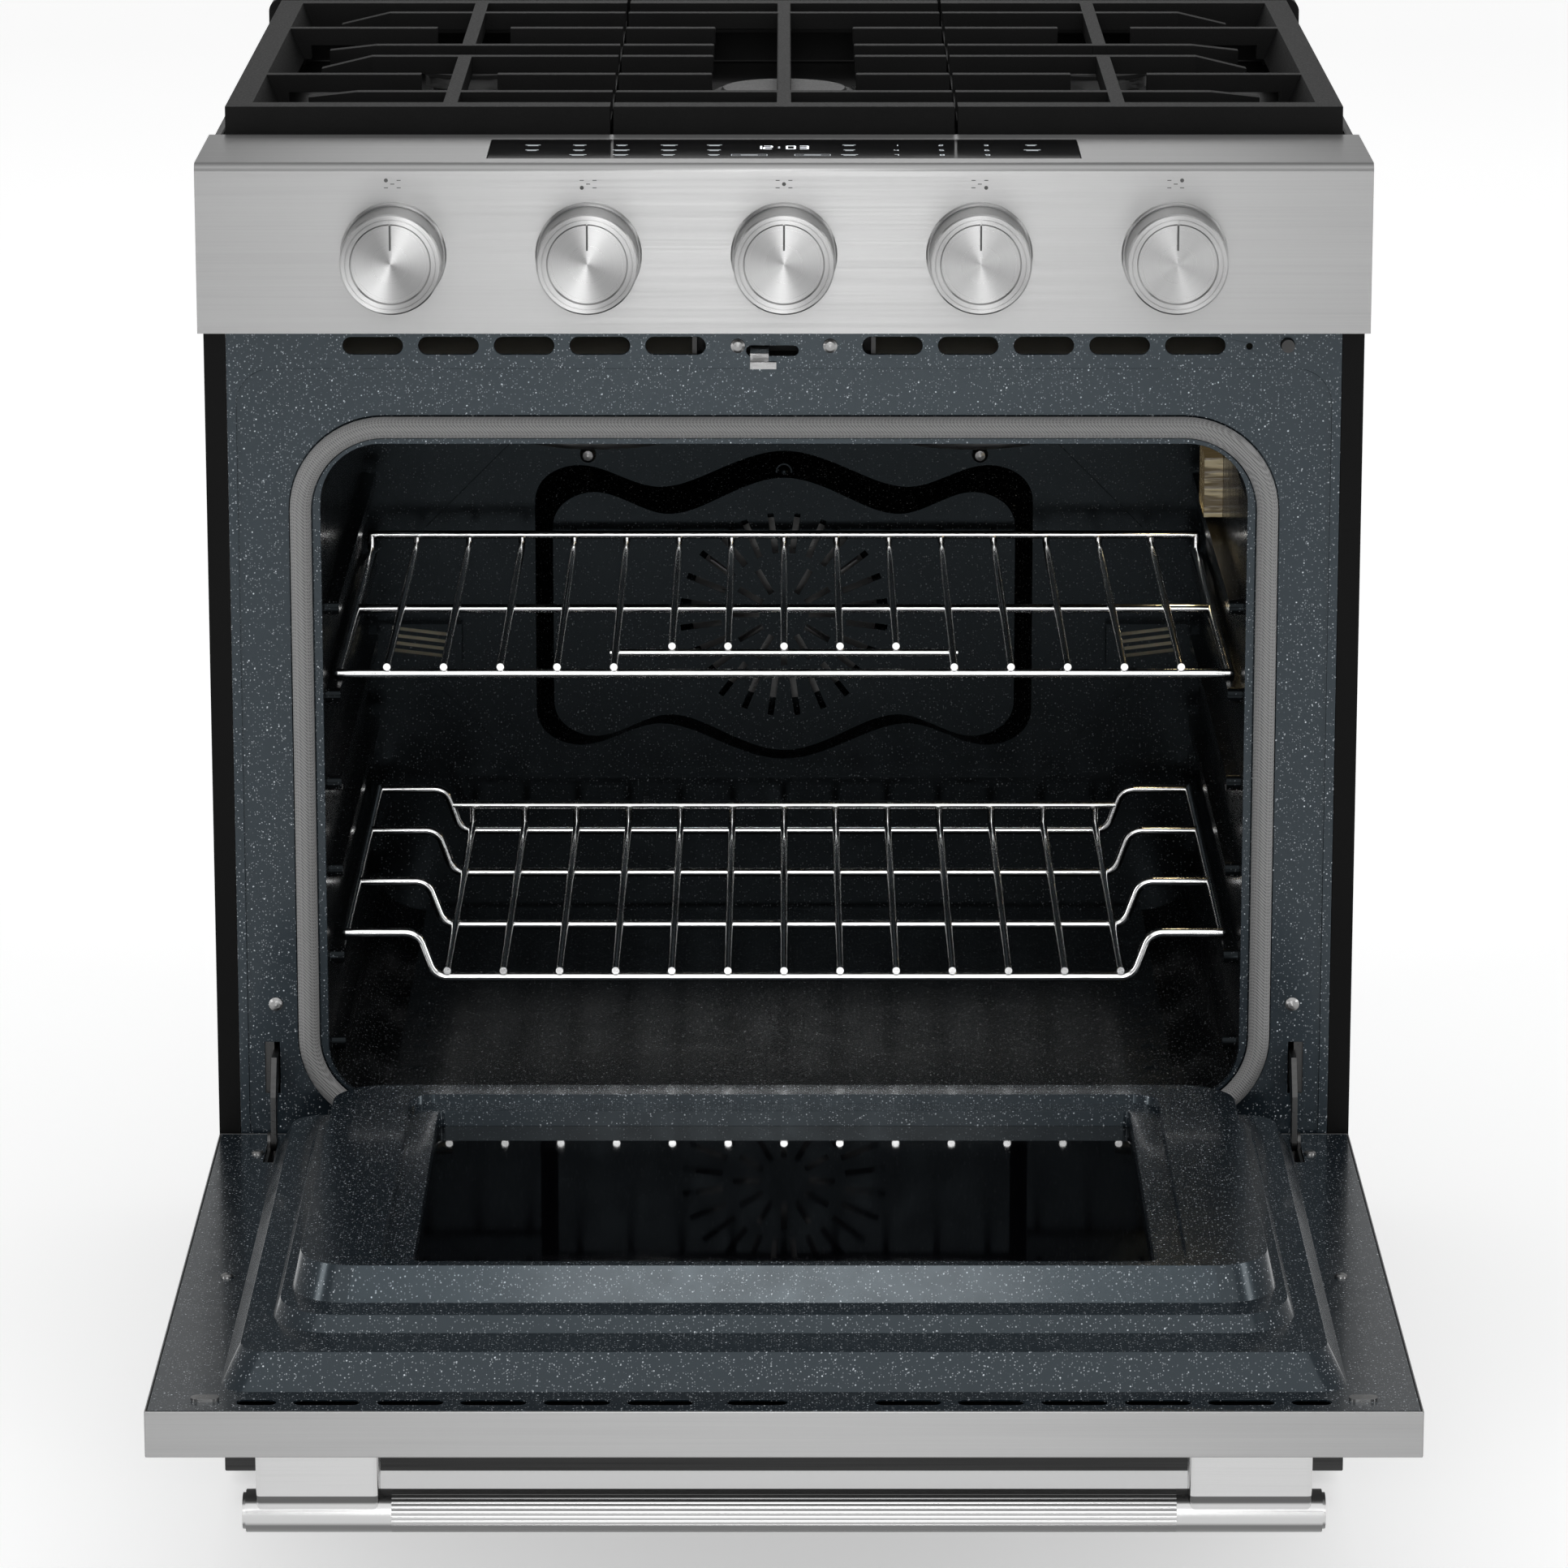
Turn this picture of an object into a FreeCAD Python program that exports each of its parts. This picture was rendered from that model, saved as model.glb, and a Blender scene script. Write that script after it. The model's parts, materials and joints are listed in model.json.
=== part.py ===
"""Freestanding gas range with its oven door open: parametric model, in millimetres.

+X is the range's right-hand side seen from the front, +Y points to its rear, +Z is up.
The origin is on the floor, at the bottom centre of the box around the whole range.
Every depth written below is counted back from the front face of the control panel.
"""
import FreeCAD, Part
import math
import os
import re

import Sketcher

doc = FreeCAD.newDocument("gas_range")
V = FreeCAD.Vector

# ---------------------------------------------------------------- driving dimensions
DIMENSIONS = {
    # body
    "body_width": 759, "rear_y": 700, "door_reach": 524, "frame_y": 46, "sheet": 1.5,
    "body_bottom": 20, "console_low": 804, "console_top": 915, "console_deep": 123.5,
    "frame_top": 803.5, "frame_low": 218, "frame_half": 365, "panel_top": 879.7,
    # cooktop
    "pan_floor": 886, "pan_rim": 909, "grate_top": 932, "grate_front": 134, "grate_back": 668,
    "grate_half": 369.7, "split": 114, "bar_wide": 9.5, "bar_deep": 12, "rim_low": 910,
    "burner_x": 221.5, "burner_front": 287, "burner_mid": 403, "burner_rear": 519,
    # oven
    "oven_half": 305, "oven_low": 272, "oven_high": 722, "oven_back": 546, "oven_corner": 40,
    "seal_half": 318, "seal_low": 262, "seal_high": 733.5, "seal_corner": 56, "seal_wire": 7,
    "seal_y": 45.3, "ledge_pitch": 60, "ledge_first": 310.7, "ledge_high": 10,
    "fan_z": 503, "cover_y": 516,
    # racks
    "rack_half": 299, "rack_front": 106, "rack_wire": 2.5, "rack_rail": 3, "rack_pitch": 38,
    "upper_z": 554, "lower_z": 374, "lower_drop": 31, "upper_back": 500, "lower_back": 507,
    # door, given as it lies open
    "door_low": 222, "door_face": 251, "door_heel": 44, "pivot_y": 19.5, "pivot_z": 253.5,
    "skin": 1.5, "stamped": 1.2, "window_half": 227, "window_near": 58, "window_far": 377,
    "handle_y": 488, "handle_z": 176, "handle_r": 13, "handle_half": 324.5, "sleeve_half": 235,
    "arm_in": 339, "arm_out": 342.5, "ear_in": 343, "ear_out": 345,
    # drawer
    "drawer_half": 376.5, "drawer_low": 27, "drawer_high": 209, "bin_half": 340,
    "bin_low": 60, "bin_high": 175, "bin_back": 560,
    # knobs and valves
    "knob_pitch": 126, "knob_z": 855.5, "knob_r": 32.6, "knob_out": 38, "bezel_r": 34.4,
    "stem_r": 3, "running": 0.06,
}

sheet = doc.addObject("Spreadsheet::Sheet", "Dims")
for row, (alias, size) in enumerate(DIMENSIONS.items(), start=1):
    sheet.set(f"A{row}", alias)
    sheet.set(f"B{row}", str(size))
    sheet.setAlias(f"B{row}", alias)
doc.recompute()

ALIAS = re.compile(r"\b(" + "|".join(sorted(DIMENSIONS, key=len, reverse=True)) + r")\b")
ORIGIN_SHIFT = "(door_reach - rear_y) / 2"
parts = {}


# ---------------------------------------------------------------- helpers
def bind(item, prop, text):
    """Bind a property to an expression in which the sheet's names stand alone."""
    item.setExpression(prop, ALIAS.sub(lambda found: "Dims." + found.group(1), str(text)))


def size_of(name):
    """Return a driving dimension from the sheet."""
    return float(getattr(sheet, name))


def shifted(depth):
    """Return the expression of a Y coordinate from a depth behind the control panel."""
    return f"({depth}) + {ORIGIN_SHIFT}"


def both(half):
    """Return the X span from -half to +half."""
    return (f"-({half})", half)


def sided(side, near, far):
    """Return an X span, near to far from the middle, on side +1 or -1."""
    if side > 0:
        return (near, far)
    return (f"-({far})", f"-({near})")


def node(name, item):
    """Name a finished sub-part."""
    item.Label = name
    parts[name] = item


def place(item, start):
    """Bind an item's position to a start point: X, depth and Z."""
    bind(item, "Placement.Base.x", start[0])
    bind(item, "Placement.Base.y", shifted(start[1]))
    bind(item, "Placement.Base.z", start[2])


def box(name, across, depth, height):
    """Make a box from its X, depth and Z spans."""
    item = doc.addObject("Part::Box", name)
    bind(item, "Length", f"({across[1]}) - ({across[0]})")
    bind(item, "Width", f"({depth[1]}) - ({depth[0]})")
    bind(item, "Height", f"({height[1]}) - ({height[0]})")
    place(item, (across[0], depth[0], height[0]))
    return item


TURNS = {
    "x": FreeCAD.Rotation(V(0, 1, 0), 90),
    "y": FreeCAD.Rotation(V(1, 0, 0), -90),
    "z": FreeCAD.Rotation(),
}


def rod(name, axis, start, length, radius):
    """Make a round bar along +axis from its start point."""
    item = doc.addObject("Part::Cylinder", name)
    item.Placement = FreeCAD.Placement(V(0, 0, 0), TURNS[axis])
    bind(item, "Radius", radius)
    bind(item, "Height", length)
    place(item, start)
    return item


def ball(name, centre, radius):
    """Make a ball, which rounds a corner between two bars."""
    item = doc.addObject("Part::Sphere", name)
    bind(item, "Radius", radius)
    place(item, centre)
    return item


def bend(name, centre, turn, ring, wire, sweep=90):
    """Make a bent bar: part of a ring about the centre, turned from the XY plane."""
    item = doc.addObject("Part::Torus", name)
    item.Placement = FreeCAD.Placement(V(0, 0, 0), turn)
    bind(item, "Radius1", ring)
    bind(item, "Radius2", wire)
    item.Angle3 = sweep
    place(item, centre)
    return item


def frustum(name, low, high, near_far_low, near_far_high, height):
    """Make a block with different lower and upper rectangles, given as X and depth spans."""
    item = doc.addObject("Part::Wedge", name)
    item.Placement = FreeCAD.Placement(V(0, 0, 0), FreeCAD.Rotation(V(1, 0, 0), 90))
    bind(item, "Xmin", low[0])
    bind(item, "Xmax", low[1])
    bind(item, "X2min", high[0])
    bind(item, "X2max", high[1])
    bind(item, "Zmin", f"-({shifted(near_far_low[1])})")
    bind(item, "Zmax", f"-({shifted(near_far_low[0])})")
    bind(item, "Z2min", f"-({shifted(near_far_high[1])})")
    bind(item, "Z2max", f"-({shifted(near_far_high[0])})")
    bind(item, "Ymin", height[0])
    bind(item, "Ymax", height[1])
    return item


def spoke(name, centre, angle, inner, length, deep, thick):
    """Make a flat radial bar in an X-Z plane: a fan blade, or a cutter for a radial slot."""
    item = doc.addObject("Part::Box", name)
    item.Placement = FreeCAD.Placement(V(0, 0, 0), FreeCAD.Rotation(V(0, 1, 0), angle))
    bind(item, "Length", length)
    bind(item, "Width", deep)
    bind(item, "Height", thick)
    run = math.cos(math.radians(angle))
    rise = math.sin(math.radians(angle))
    start_x = f"({centre[0]}) + ({inner}) * {run:.6f} - ({thick}) / 2 * {rise:.6f}"
    start_z = f"({centre[2]}) - ({inner}) * {rise:.6f} - ({thick}) / 2 * {run:.6f}"
    place(item, (start_x, centre[1], start_z))
    return item


def fuse(name, pieces):
    """Join pieces into one solid."""
    item = doc.addObject("Part::MultiFuse", name)
    item.Shapes = pieces
    item.Refine = True
    return item


def group(name, pieces):
    """Hold separate solids in one item."""
    item = doc.addObject("Part::Compound", name)
    item.Links = pieces
    return item


def cut(name, base, tools):
    """Cut one or more tools out of a base."""
    item = doc.addObject("Part::Cut", name)
    item.Base = base
    item.Tool = tools[0] if len(tools) == 1 else fuse(name + "_tools", tools)
    item.Refine = True
    return item


def rounded(name, half, spread, corner, span, axis="y"):
    """Make a block with rounded corners, centred on X = 0, that runs along Y or Z through span."""
    inner = f"({half}) - ({corner})"
    low = f"({spread[0]}) + ({corner})"
    high = f"({spread[1]}) - ({corner})"
    run = f"({span[1]}) - ({span[0]})"
    if axis == "y":
        pieces = [box(name + "_wide", both(half), span, (low, high)),
                  box(name + "_tall", both(inner), span, spread)]
    else:
        pieces = [box(name + "_wide", both(half), (low, high), span),
                  box(name + "_tall", both(inner), spread, span)]
    for side in (-1, 1):
        for end, level in (("low", low), ("high", high)):
            x = f"{side} * ({inner})"
            start = (x, span[0], level) if axis == "y" else (x, level, span[0])
            pieces.append(rod(f"{name}_{end}_{side + 1}", axis, start, run, corner))
    return fuse(name, pieces)


def softened(name, base, radius):
    """Round the four rising edges of a frustum."""
    base.recompute()
    rising = [
        number for number, edge in enumerate(base.Shape.Edges, start=1)
        if abs(edge.Vertexes[0].Z - edge.Vertexes[1].Z) > 0.1
    ]
    item = doc.addObject("Part::Fillet", name)
    item.Base = base
    item.Edges = [(number, radius, radius) for number in rising]
    return item


def slot(name, axis, centre, length, wide, span):
    """Make a stadium-shaped cutter, long along X, that cuts along Y (through span) or Z."""
    reach = f"(({length}) - ({wide})) / 2"
    half = f"({wide}) / 2"
    left = f"({centre[0]}) - {reach}"
    right = f"({centre[0]}) + {reach}"
    band = (f"({centre[1]}) - {half}", f"({centre[1]}) + {half}")
    if axis == "y":
        middle = box(name + "_mid", (left, right), span, band)
        starts = [(x, span[0], centre[1]) for x in (left, right)]
    else:
        middle = box(name + "_mid", (left, right), band, span)
        starts = [(x, centre[1], span[0]) for x in (left, right)]
    run = f"({span[1]}) - ({span[0]})"
    ends = [rod(f"{name}_end{index}", axis, start, run, half) for index, start in enumerate(starts)]
    return fuse(name, [middle] + ends)


def outline(body, name, plane, points):
    """Draw a closed outline on a body's own plane, with each corner bound to the sheet."""
    sketch = body.newObject("Sketcher::SketchObject", name)
    support = [item for item in body.Origin.OriginFeatures if item.Role == plane][0]
    sketch.AttachmentSupport = [(support, "")]
    sketch.MapMode = "FlatFace"
    count = len(points)
    rough = [V(math.cos(math.tau * step / count), math.sin(math.tau * step / count), 0)
             for step in range(count)]
    for index in range(count):
        sketch.addGeometry(Part.LineSegment(rough[index], rough[(index + 1) % count]))
    for index in range(count):
        sketch.addConstraint(Sketcher.Constraint("Coincident", index, 2, (index + 1) % count, 1))
    for index in range(count):
        for kind, start, text in (
            ("DistanceX", rough[index].x, points[index][0]),
            ("DistanceY", rough[index].y, points[index][1]),
        ):
            number = sketch.addConstraint(Sketcher.Constraint(kind, -1, 1, index, 1, start))
            bind(sketch, f"Constraints[{number}]", text)
    return sketch


def turned(name, axis, centre, points):
    """Turn an outline of (radius, height along the axis) about a Y or Z axis at the centre."""
    body = doc.addObject("PartDesign::Body", name)
    sketch = outline(body, name + "_outline", "XY_Plane" if axis == "y" else "XZ_Plane", points)
    feature = body.newObject("PartDesign::Revolution", name + "_turned")
    feature.Profile = sketch
    feature.ReferenceAxis = (sketch, ["V_Axis"])
    feature.Angle = 360
    body.Tip = feature
    place(body, centre)
    return body


def profile_pad(name, across, points):
    """Pad an outline of (depth, Z) along X over a span."""
    body = doc.addObject("PartDesign::Body", name)
    sketch = outline(body, name + "_outline", "YZ_Plane", points)
    feature = body.newObject("PartDesign::Pad", name + "_pad")
    feature.Profile = sketch
    bind(feature, "Length", f"({across[1]}) - ({across[0]})")
    body.Tip = feature
    place(body, (across[0], "0", "0"))
    return body


def path_bar(name, corners, radius):
    """Make round bars through corners that differ along one axis at a time, with ball corners."""
    pieces = []
    for index in range(len(corners) - 1):
        start, end = corners[index], corners[index + 1]
        step = [axis for axis in range(3) if start[axis] != end[axis]][0]
        first, last = (start, end) if float_of(end[step]) > float_of(start[step]) else (end, start)
        length = f"({last[step]}) - ({first[step]})"
        pieces.append(rod(f"{name}_run{index}", "xyz"[step], first, length, radius))
        if index:
            pieces.append(ball(f"{name}_turn{index}", start, radius))
    return pieces


def float_of(text):
    """Return the value of a sheet name or a plain number."""
    return size_of(text) if text in DIMENSIONS else float(text)


HALF = "body_width / 2"
SIDES = ((-1, "left"), (1, "right"))


# ---------------------------------------------------------------- outer body
def make_side_panel(side, name):
    """Side wall: one folded sheet with returns at the front, the rear and the bottom."""
    skin = sided(side, f"{HALF} - sheet", HALF)
    fold = sided(side, f"{HALF} - 18", HALF)
    pieces = [
        box(name + "_low_skin", skin, ("frame_y", "rear_y"), ("body_bottom", "frame_top")),
        box(name + "_high_skin", skin, ("console_deep + 0.5", "rear_y"), ("frame_top - 5", "panel_top")),
        box(name + "_front_fold", sided(side, "frame_half + 0.3", HALF), ("frame_y", "frame_y + sheet"),
            ("body_bottom", "frame_top")),
        box(name + "_rear_fold", fold, ("rear_y - sheet", "rear_y"), ("body_bottom", "panel_top")),
        box(name + "_foot_fold", fold, ("frame_y", "rear_y"), ("body_bottom", "body_bottom + sheet")),
    ]
    node(name, fuse(name, pieces))


def make_rear_panel():
    """Rear wall with two rows of vents and a hole for the gas inlet."""
    wall = box("rear_wall", both(f"{HALF} - 2"), ("690", "691.2"), ("24", "panel_top - 1"))
    vents = [
        box(f"rear_vent_{row}_{step}", (f"{step} * 60 - 20", f"{step} * 60 + 20"), ("689", "692"),
            (f"{level}", f"{level} + 5"))
        for row, level in enumerate((780, 800, 820))
        for step in range(-4, 5)
    ]
    inlet = rod("rear_inlet_hole", "y", ("-210", "689", "90"), "4", "14.5")
    node("rear_panel", cut("rear_panel", wall, vents + [inlet]))


def make_base_frame():
    """Welded base: two C rails, two cross bars, the deck above the drawer and the rear web."""
    solids = [
        box("deck", both("358"), ("60", "688"), ("215", "216.5")),
        box("front_top_bar", both("358"), ("49.5", "60"), ("212", "216.5")),
    ]
    for side, word in SIDES:
        rail = fuse(f"base_rail_{word}_welded", [
            box(f"rail_web_{word}", sided(side, "356.5", "358"), ("60", "688"), ("22", "215")),
            box(f"rail_top_{word}", sided(side, "340", "357"), ("60", "686.5"), ("213.5", "215")),
            box(f"rail_foot_{word}", sided(side, "300", "357"), ("60", "686.5"), ("22", "23.5")),
        ])
        if side < 0:
            rail = cut("base_rail_bored", rail, [rod("base_pipe_hole", "x", ("-360", "645", "90"), "6", "8")])
        solids.append(rail)
    for word, near, far in (("front", "60", "100"), ("rear", "648", "686.5")):
        bar = box(f"{word}_bar", both("356.5"), (near, far), ("23.5", "40"))
        hollow = box(f"{word}_bar_inside", both("355"), (f"{near} + 2", f"{far} - 2"), ("23", "38"))
        solids.append(cut(f"{word}_bar_hollow", bar, [hollow]))
    web = box("rear_web", both("356.5"), ("686.5", "688"), ("22", "215"))
    inlet_hole = rod("base_inlet_hole", "y", ("-210", "685", "90"), "5", "14.5")
    solids.append(cut("rear_web_bored", web, [inlet_hole]))
    node("base_frame", group("base_frame", solids))


def make_legs():
    """Four levelling legs: a foot pad, a stud and a nut against the base frame."""
    corners = [(x, y) for x in ("-329", "329") for y in ("80", "668")]
    legs = [
        turned(f"leg_{index}", "z", (x, y, "0"),
               [("0", "0"), ("16", "0"), ("16", "5"), ("5", "8"), ("5", "17"), ("8.5", "17"), ("8.5", "22"),
                ("0", "22")])
        for index, (x, y) in enumerate(corners)
    ]
    node("levelling_legs", group("levelling_legs", legs))


def make_front_frame():
    """Enamelled front frame: door seal channel, oven mouth, cooling slots, latch and hinge slots."""
    plate = box("frame_plate", both("frame_half"), ("frame_y", "frame_y + 3"), ("frame_low", "frame_top"))
    channel = rounded("frame_channel", "seal_half + 16", ("seal_low - 16", "seal_high + 16"),
                      "seal_corner + 16", ("frame_y + 2", "frame_y + 8"))
    mouth = rounded("frame_mouth", "oven_half", ("oven_low", "oven_high"), "oven_corner",
                    ("frame_y - 1", "frame_y + 9"))
    recess = rounded("frame_recess", "359", ("232", "772.5"), "24", ("frame_y - 1", "frame_y + 1.6"))
    groove_out = rounded("groove_out", "seal_half + 7.7", ("seal_low - 7.7", "seal_high + 7.7"),
                         "seal_corner + 7.7", ("frame_y - 1", "frame_y + 6.6"))
    groove_in = rounded("groove_in", "seal_half - 7.7", ("seal_low + 7.7", "seal_high - 7.7"),
                        "seal_corner - 7.7", ("frame_y - 2", "frame_y + 7"))
    groove = cut("frame_groove", groove_out, [groove_in])
    tools = [mouth, recess, groove]
    through = ("frame_y - 1", "frame_y + 4")
    for side, word in SIDES:
        for step in range(5):
            centre = (f"{side} * (70.9 + {step} * 49.5)", "787.7")
            tools.append(slot(f"frame_vent_{word}_{step}", "y", centre, "39.4", "11.7", through))
        tools.append(box(f"hinge_slot_{word}", sided(side, "338", "348"), through, ("278", "314")))
    tools.append(slot("latch_slot", "y", ("-7.6", "784.4"), "34.2", "6.7", through))
    tools.append(rod("sensor_hole", "y", ("304.3", "frame_y - 1", "787.3"), "6", "2.1"))
    tools.append(rod("switch_hole", "y", ("329.3", "frame_y - 1", "788.3"), "6", "4.6"))
    whole = fuse("frame_whole", [plate, channel])
    node("front_frame", cut("front_frame", whole, tools))


def make_frame_screws():
    """Screws and studs: two at the latch, two at the frame's sides, two on the oven's back wall."""
    head = [("0", "0"), ("4.8", "0"), ("4.6", "-1.4"), ("3", "-2.6"), ("0", "-3")]
    stud = [("0", "0"), ("6", "0"), ("5.6", "-3.5"), ("3.6", "-6"), ("0", "-6.8")]
    places = [("-30.2", "frame_y", "787.7", head), ("30.2", "frame_y", "787.7", head),
              ("-340.2", "frame_y + 1.6", "340.5", head), ("340.2", "frame_y + 1.6", "340.5", head),
              ("-143", "oven_back", "616", stud), ("143", "oven_back", "616", stud)]
    screws = [
        turned(f"frame_screw_{index}", "y", (x, depth, z), shape)
        for index, (x, depth, z, shape) in enumerate(places)
    ]
    node("frame_screws", group("frame_screws", screws))


# ---------------------------------------------------------------- oven
def louvres(suffix):
    """Return the raised vents on the back wall beside the fan cover, or what is cut from them."""
    items = []
    for side, word in SIDES:
        if not suffix:
            items.append(box(f"vent_box_{word}", sided(side, "236", "298"),
                             ("oven_back - 14", "oven_back + 1"),
                             ("461", "492")))
            continue
        items.append(box(f"vent_hollow_{word}", sided(side, "237.5", "296.5"),
                         ("oven_back - 12.5", "oven_back + 2"),
                         ("462.5", "490.5")))
        for step in range(4):
            centre = (f"{side} * 247", "oven_back - 16", f"468 + {step} * 5.5")
            angle = -7 if side > 0 else 187
            items.append(spoke(f"vent_slot_{word}_{step}", centre, angle, "0", "40", "5", "2.8"))
    return items


def chamfered(name, half, spread, depth, size):
    """Make an upright eight-sided block: a box with its four corners cut off."""
    block = box(name + "_block", both(half), depth, spread)
    block.recompute()
    corners = [
        number for number, edge in enumerate(block.Shape.Edges, start=1)
        if abs(edge.Vertexes[0].Y - edge.Vertexes[1].Y) > 0.1
    ]
    item = doc.addObject("Part::Chamfer", name)
    item.Base = block
    item.Edges = [(number, size, size) for number in corners]
    return item


def back_rib():
    """Return the eight-sided stiffening rib pressed into the oven's back wall, clear of the vents."""
    outer = chamfered("rib_outer", "262", ("366", "634"), ("oven_back - 2", "oven_back + 0.6"), 72)
    inner = chamfered("rib_inner", "254", ("374", "626"), ("oven_back - 3", "oven_back + 1"), 68.7)
    gaps = [
        box(f"rib_gap_{word}", sided(side, "230", "304"), ("oven_back - 3", "oven_back + 1"), ("456", "497"))
        for side, word in SIDES
    ]
    return cut("rib", outer, [inner] + gaps)


def make_oven_liner():
    """Oven box: rounded enamelled shell with rack ledges in its side walls and vents in its back."""
    shell = rounded("liner_shell", "oven_half + stamped", ("oven_low - stamped", "oven_high + stamped"),
                    "oven_corner + stamped", ("frame_y + 8.2", "oven_back + stamped"))
    inside = rounded("liner_inside", "oven_half", ("oven_low", "oven_high"), "oven_corner",
                     ("frame_y + 7", "oven_back"))
    hollow = cut("liner_hollow", shell, [inside])
    ledges = []
    for side, word in SIDES:
        for step in range(6):
            top = f"ledge_first + {step} * ledge_pitch"
            span = sided(side, "oven_half - 9.5", "oven_half + 0.6")
            ledges.append(box(f"ledge_{word}_{step}", span, ("77", "505"), (f"{top} - ledge_high", top)))
            nose = (span[0], "77", f"{top} - ledge_high / 2")
            ledges.append(rod(f"ledge_nose_{word}_{step}", "x", nose, "10.1", "ledge_high / 2"))
    with_ledges = fuse("liner_with_ledges", [hollow] + ledges + louvres("") + [back_rib()])
    tools = louvres("_inside") + [
        box("burner_opening", both("240"), ("90", "500"), ("oven_low - 3", "oven_low + 1")),
        rod("shaft_hole", "y", ("0", "oven_back - 1", "fan_z"), "4", "8"),
    ]
    node("oven_liner", cut("oven_liner", with_ledges, tools))


def make_insulation():
    """Mineral wool jacket around the oven box, open at the front and behind the fan motor."""
    outside = box("wool_outside", both("334"), ("57", "600"), ("220", "770"))
    inside = box("wool_inside", both("oven_half + 2"), ("56", "oven_back + 2.5"), ("236", "oven_high + 2.5"))
    motor = rod("wool_motor_hole", "y", ("0", "oven_back", "fan_z"), "60", "45")
    node("oven_insulation", cut("oven_insulation", outside, [inside, motor]))


def make_oven_floor():
    """Loose floor panel over the bake burner, with a row of heat slots down each side."""
    panel = box("floor_panel", both("262"), ("70", "530"), ("oven_low", "oven_low + 1.5"))
    slots = []
    for side, word in SIDES:
        for step in range(8):
            span = sided(side, "246", "256")
            start = f"90 + {step} * 54"
            slots.append(box(f"floor_slot_{word}_{step}", span, (start, f"{start} + 38"), ("270", "275")))
    node("oven_floor", cut("oven_floor", panel, slots))


def make_bake_burner():
    """U-shaped bake burner under the oven floor."""
    corners = [("-110", "470", "253"), ("-110", "120", "253"), ("110", "120", "253"), ("110", "520", "253")]
    node("bake_burner", fuse("bake_burner", path_bar("bake", corners, "9")))


def make_broil_burner():
    """Broil burner: two hanging loops joined by a cross tube at the rear."""
    pieces = []
    for side, word in SIDES:
        centre = (f"{side} * 125", "185", "709")
        turn = FreeCAD.Rotation(V(0, 0, 1), 180)
        pieces.append(bend(f"broil_bend_{word}", centre, turn, "55", "7", 180))
        for edge in (-55, 55):
            start = (f"{side} * 125 + {edge}", "185", "709")
            pieces.append(rod(f"broil_leg_{word}_{edge + 55}", "y", start, "250", "7"))
            pieces.append(ball(f"broil_end_{word}_{edge + 55}", (start[0], "435", "709"), "7"))
    pieces.append(rod("broil_cross", "x", ("-180", "435", "709"), "360", "7"))
    node("broil_burner", fuse("broil_burner", pieces))


def make_gasket():
    """Door seal: a round braided tube that runs once round the oven's mouth."""
    inner = "seal_half - seal_corner"
    low = "seal_low + seal_corner"
    high = "seal_high - seal_corner"
    pieces = []
    for end, level in (("low", "seal_low"), ("high", "seal_high")):
        start = (f"-({inner})", "seal_y", level)
        pieces.append(rod(f"seal_{end}", "x", start, f"2 * ({inner})", "seal_wire"))
    for side, word in SIDES:
        start = (f"{side} * seal_half", "seal_y", low)
        pieces.append(rod(f"seal_{word}", "z", start, f"({high}) - ({low})", "seal_wire"))
    quarter = {(1, "high"): 0, (-1, "high"): 90, (-1, "low"): 180, (1, "low"): 270}
    for (side, end), angle in quarter.items():
        centre = (f"{side} * ({inner})", "seal_y", high if end == "high" else low)
        turn = FreeCAD.Rotation(V(1, 0, 0), 90).multiply(FreeCAD.Rotation(V(0, 0, 1), angle))
        pieces.append(bend(f"seal_corner_{end}_{side + 1}", centre, turn, "seal_corner", "seal_wire"))
    node("door_gasket", fuse("door_gasket", pieces))


CREST = ((182, 76), (173, 97), (150, 105), (120, 97), (94, 89), (50, 101), (0, 115.6))


def lobed_wire(inset, depth):
    """Return the fan cover's outline at a depth: straight sides, three lobes above and below."""
    middle = size_of("fan_z")
    half = list(CREST) + [(-across, rise) for across, rise in CREST[-2::-1]]
    shrink = 1 - inset / CREST[0][0]
    edges = []
    for sign in (1, -1):
        points = [V(across * shrink, depth, middle + sign * (rise - inset)) for across, rise in half]
        curve = Part.BSplineCurve()
        curve.interpolate(points)
        edges.append(curve.toShape())
    for side in (-1, 1):
        x = side * CREST[0][0] * shrink
        rise = CREST[0][1] - inset
        edges.append(Part.makeLine(V(x, depth, middle - rise), V(x, depth, middle + rise)))
    return Part.Wire(Part.__sortEdges__(edges))


def make_convection_cover():
    """Fan cover: a lobed dish with sloping sides on the back wall, with a slotted grille in its face."""
    shift = (size_of("door_reach") - size_of("rear_y")) / 2
    front = size_of("cover_y") + shift
    back = size_of("oven_back") + shift
    thick = size_of("stamped")
    slope = 14
    outer = Part.makeLoft([lobed_wire(0, back), lobed_wire(slope, front)], True)
    inner = Part.makeLoft([lobed_wire(1.5 * thick, back), lobed_wire(slope + 1.5 * thick, front + thick)],
                          True)
    dish = doc.addObject("Part::Feature", "cover_dish")
    dish.Shape = outer.cut(inner)
    button = rod("cover_button", "y", ("0", "cover_y + 6", "fan_z + 105"), "18", "6")
    button_cap = ball("cover_button_cap", ("0", "cover_y + 7", "fan_z + 105"), "5")
    tools = []
    for ring, (start, length, count) in enumerate(((18, 20, 12), (46, 30, 24))):
        for step in range(count):
            centre = ("0", "cover_y - 1", "fan_z")
            angle = 360 * (step + 0.5 * ring) / count
            tools.append(spoke(f"grille_{ring}_{step}", centre, angle, start, length, "4", "4.5"))
    whole = fuse("cover_whole", [dish, button, button_cap])
    node("convection_cover", cut("convection_cover", whole, tools))


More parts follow.
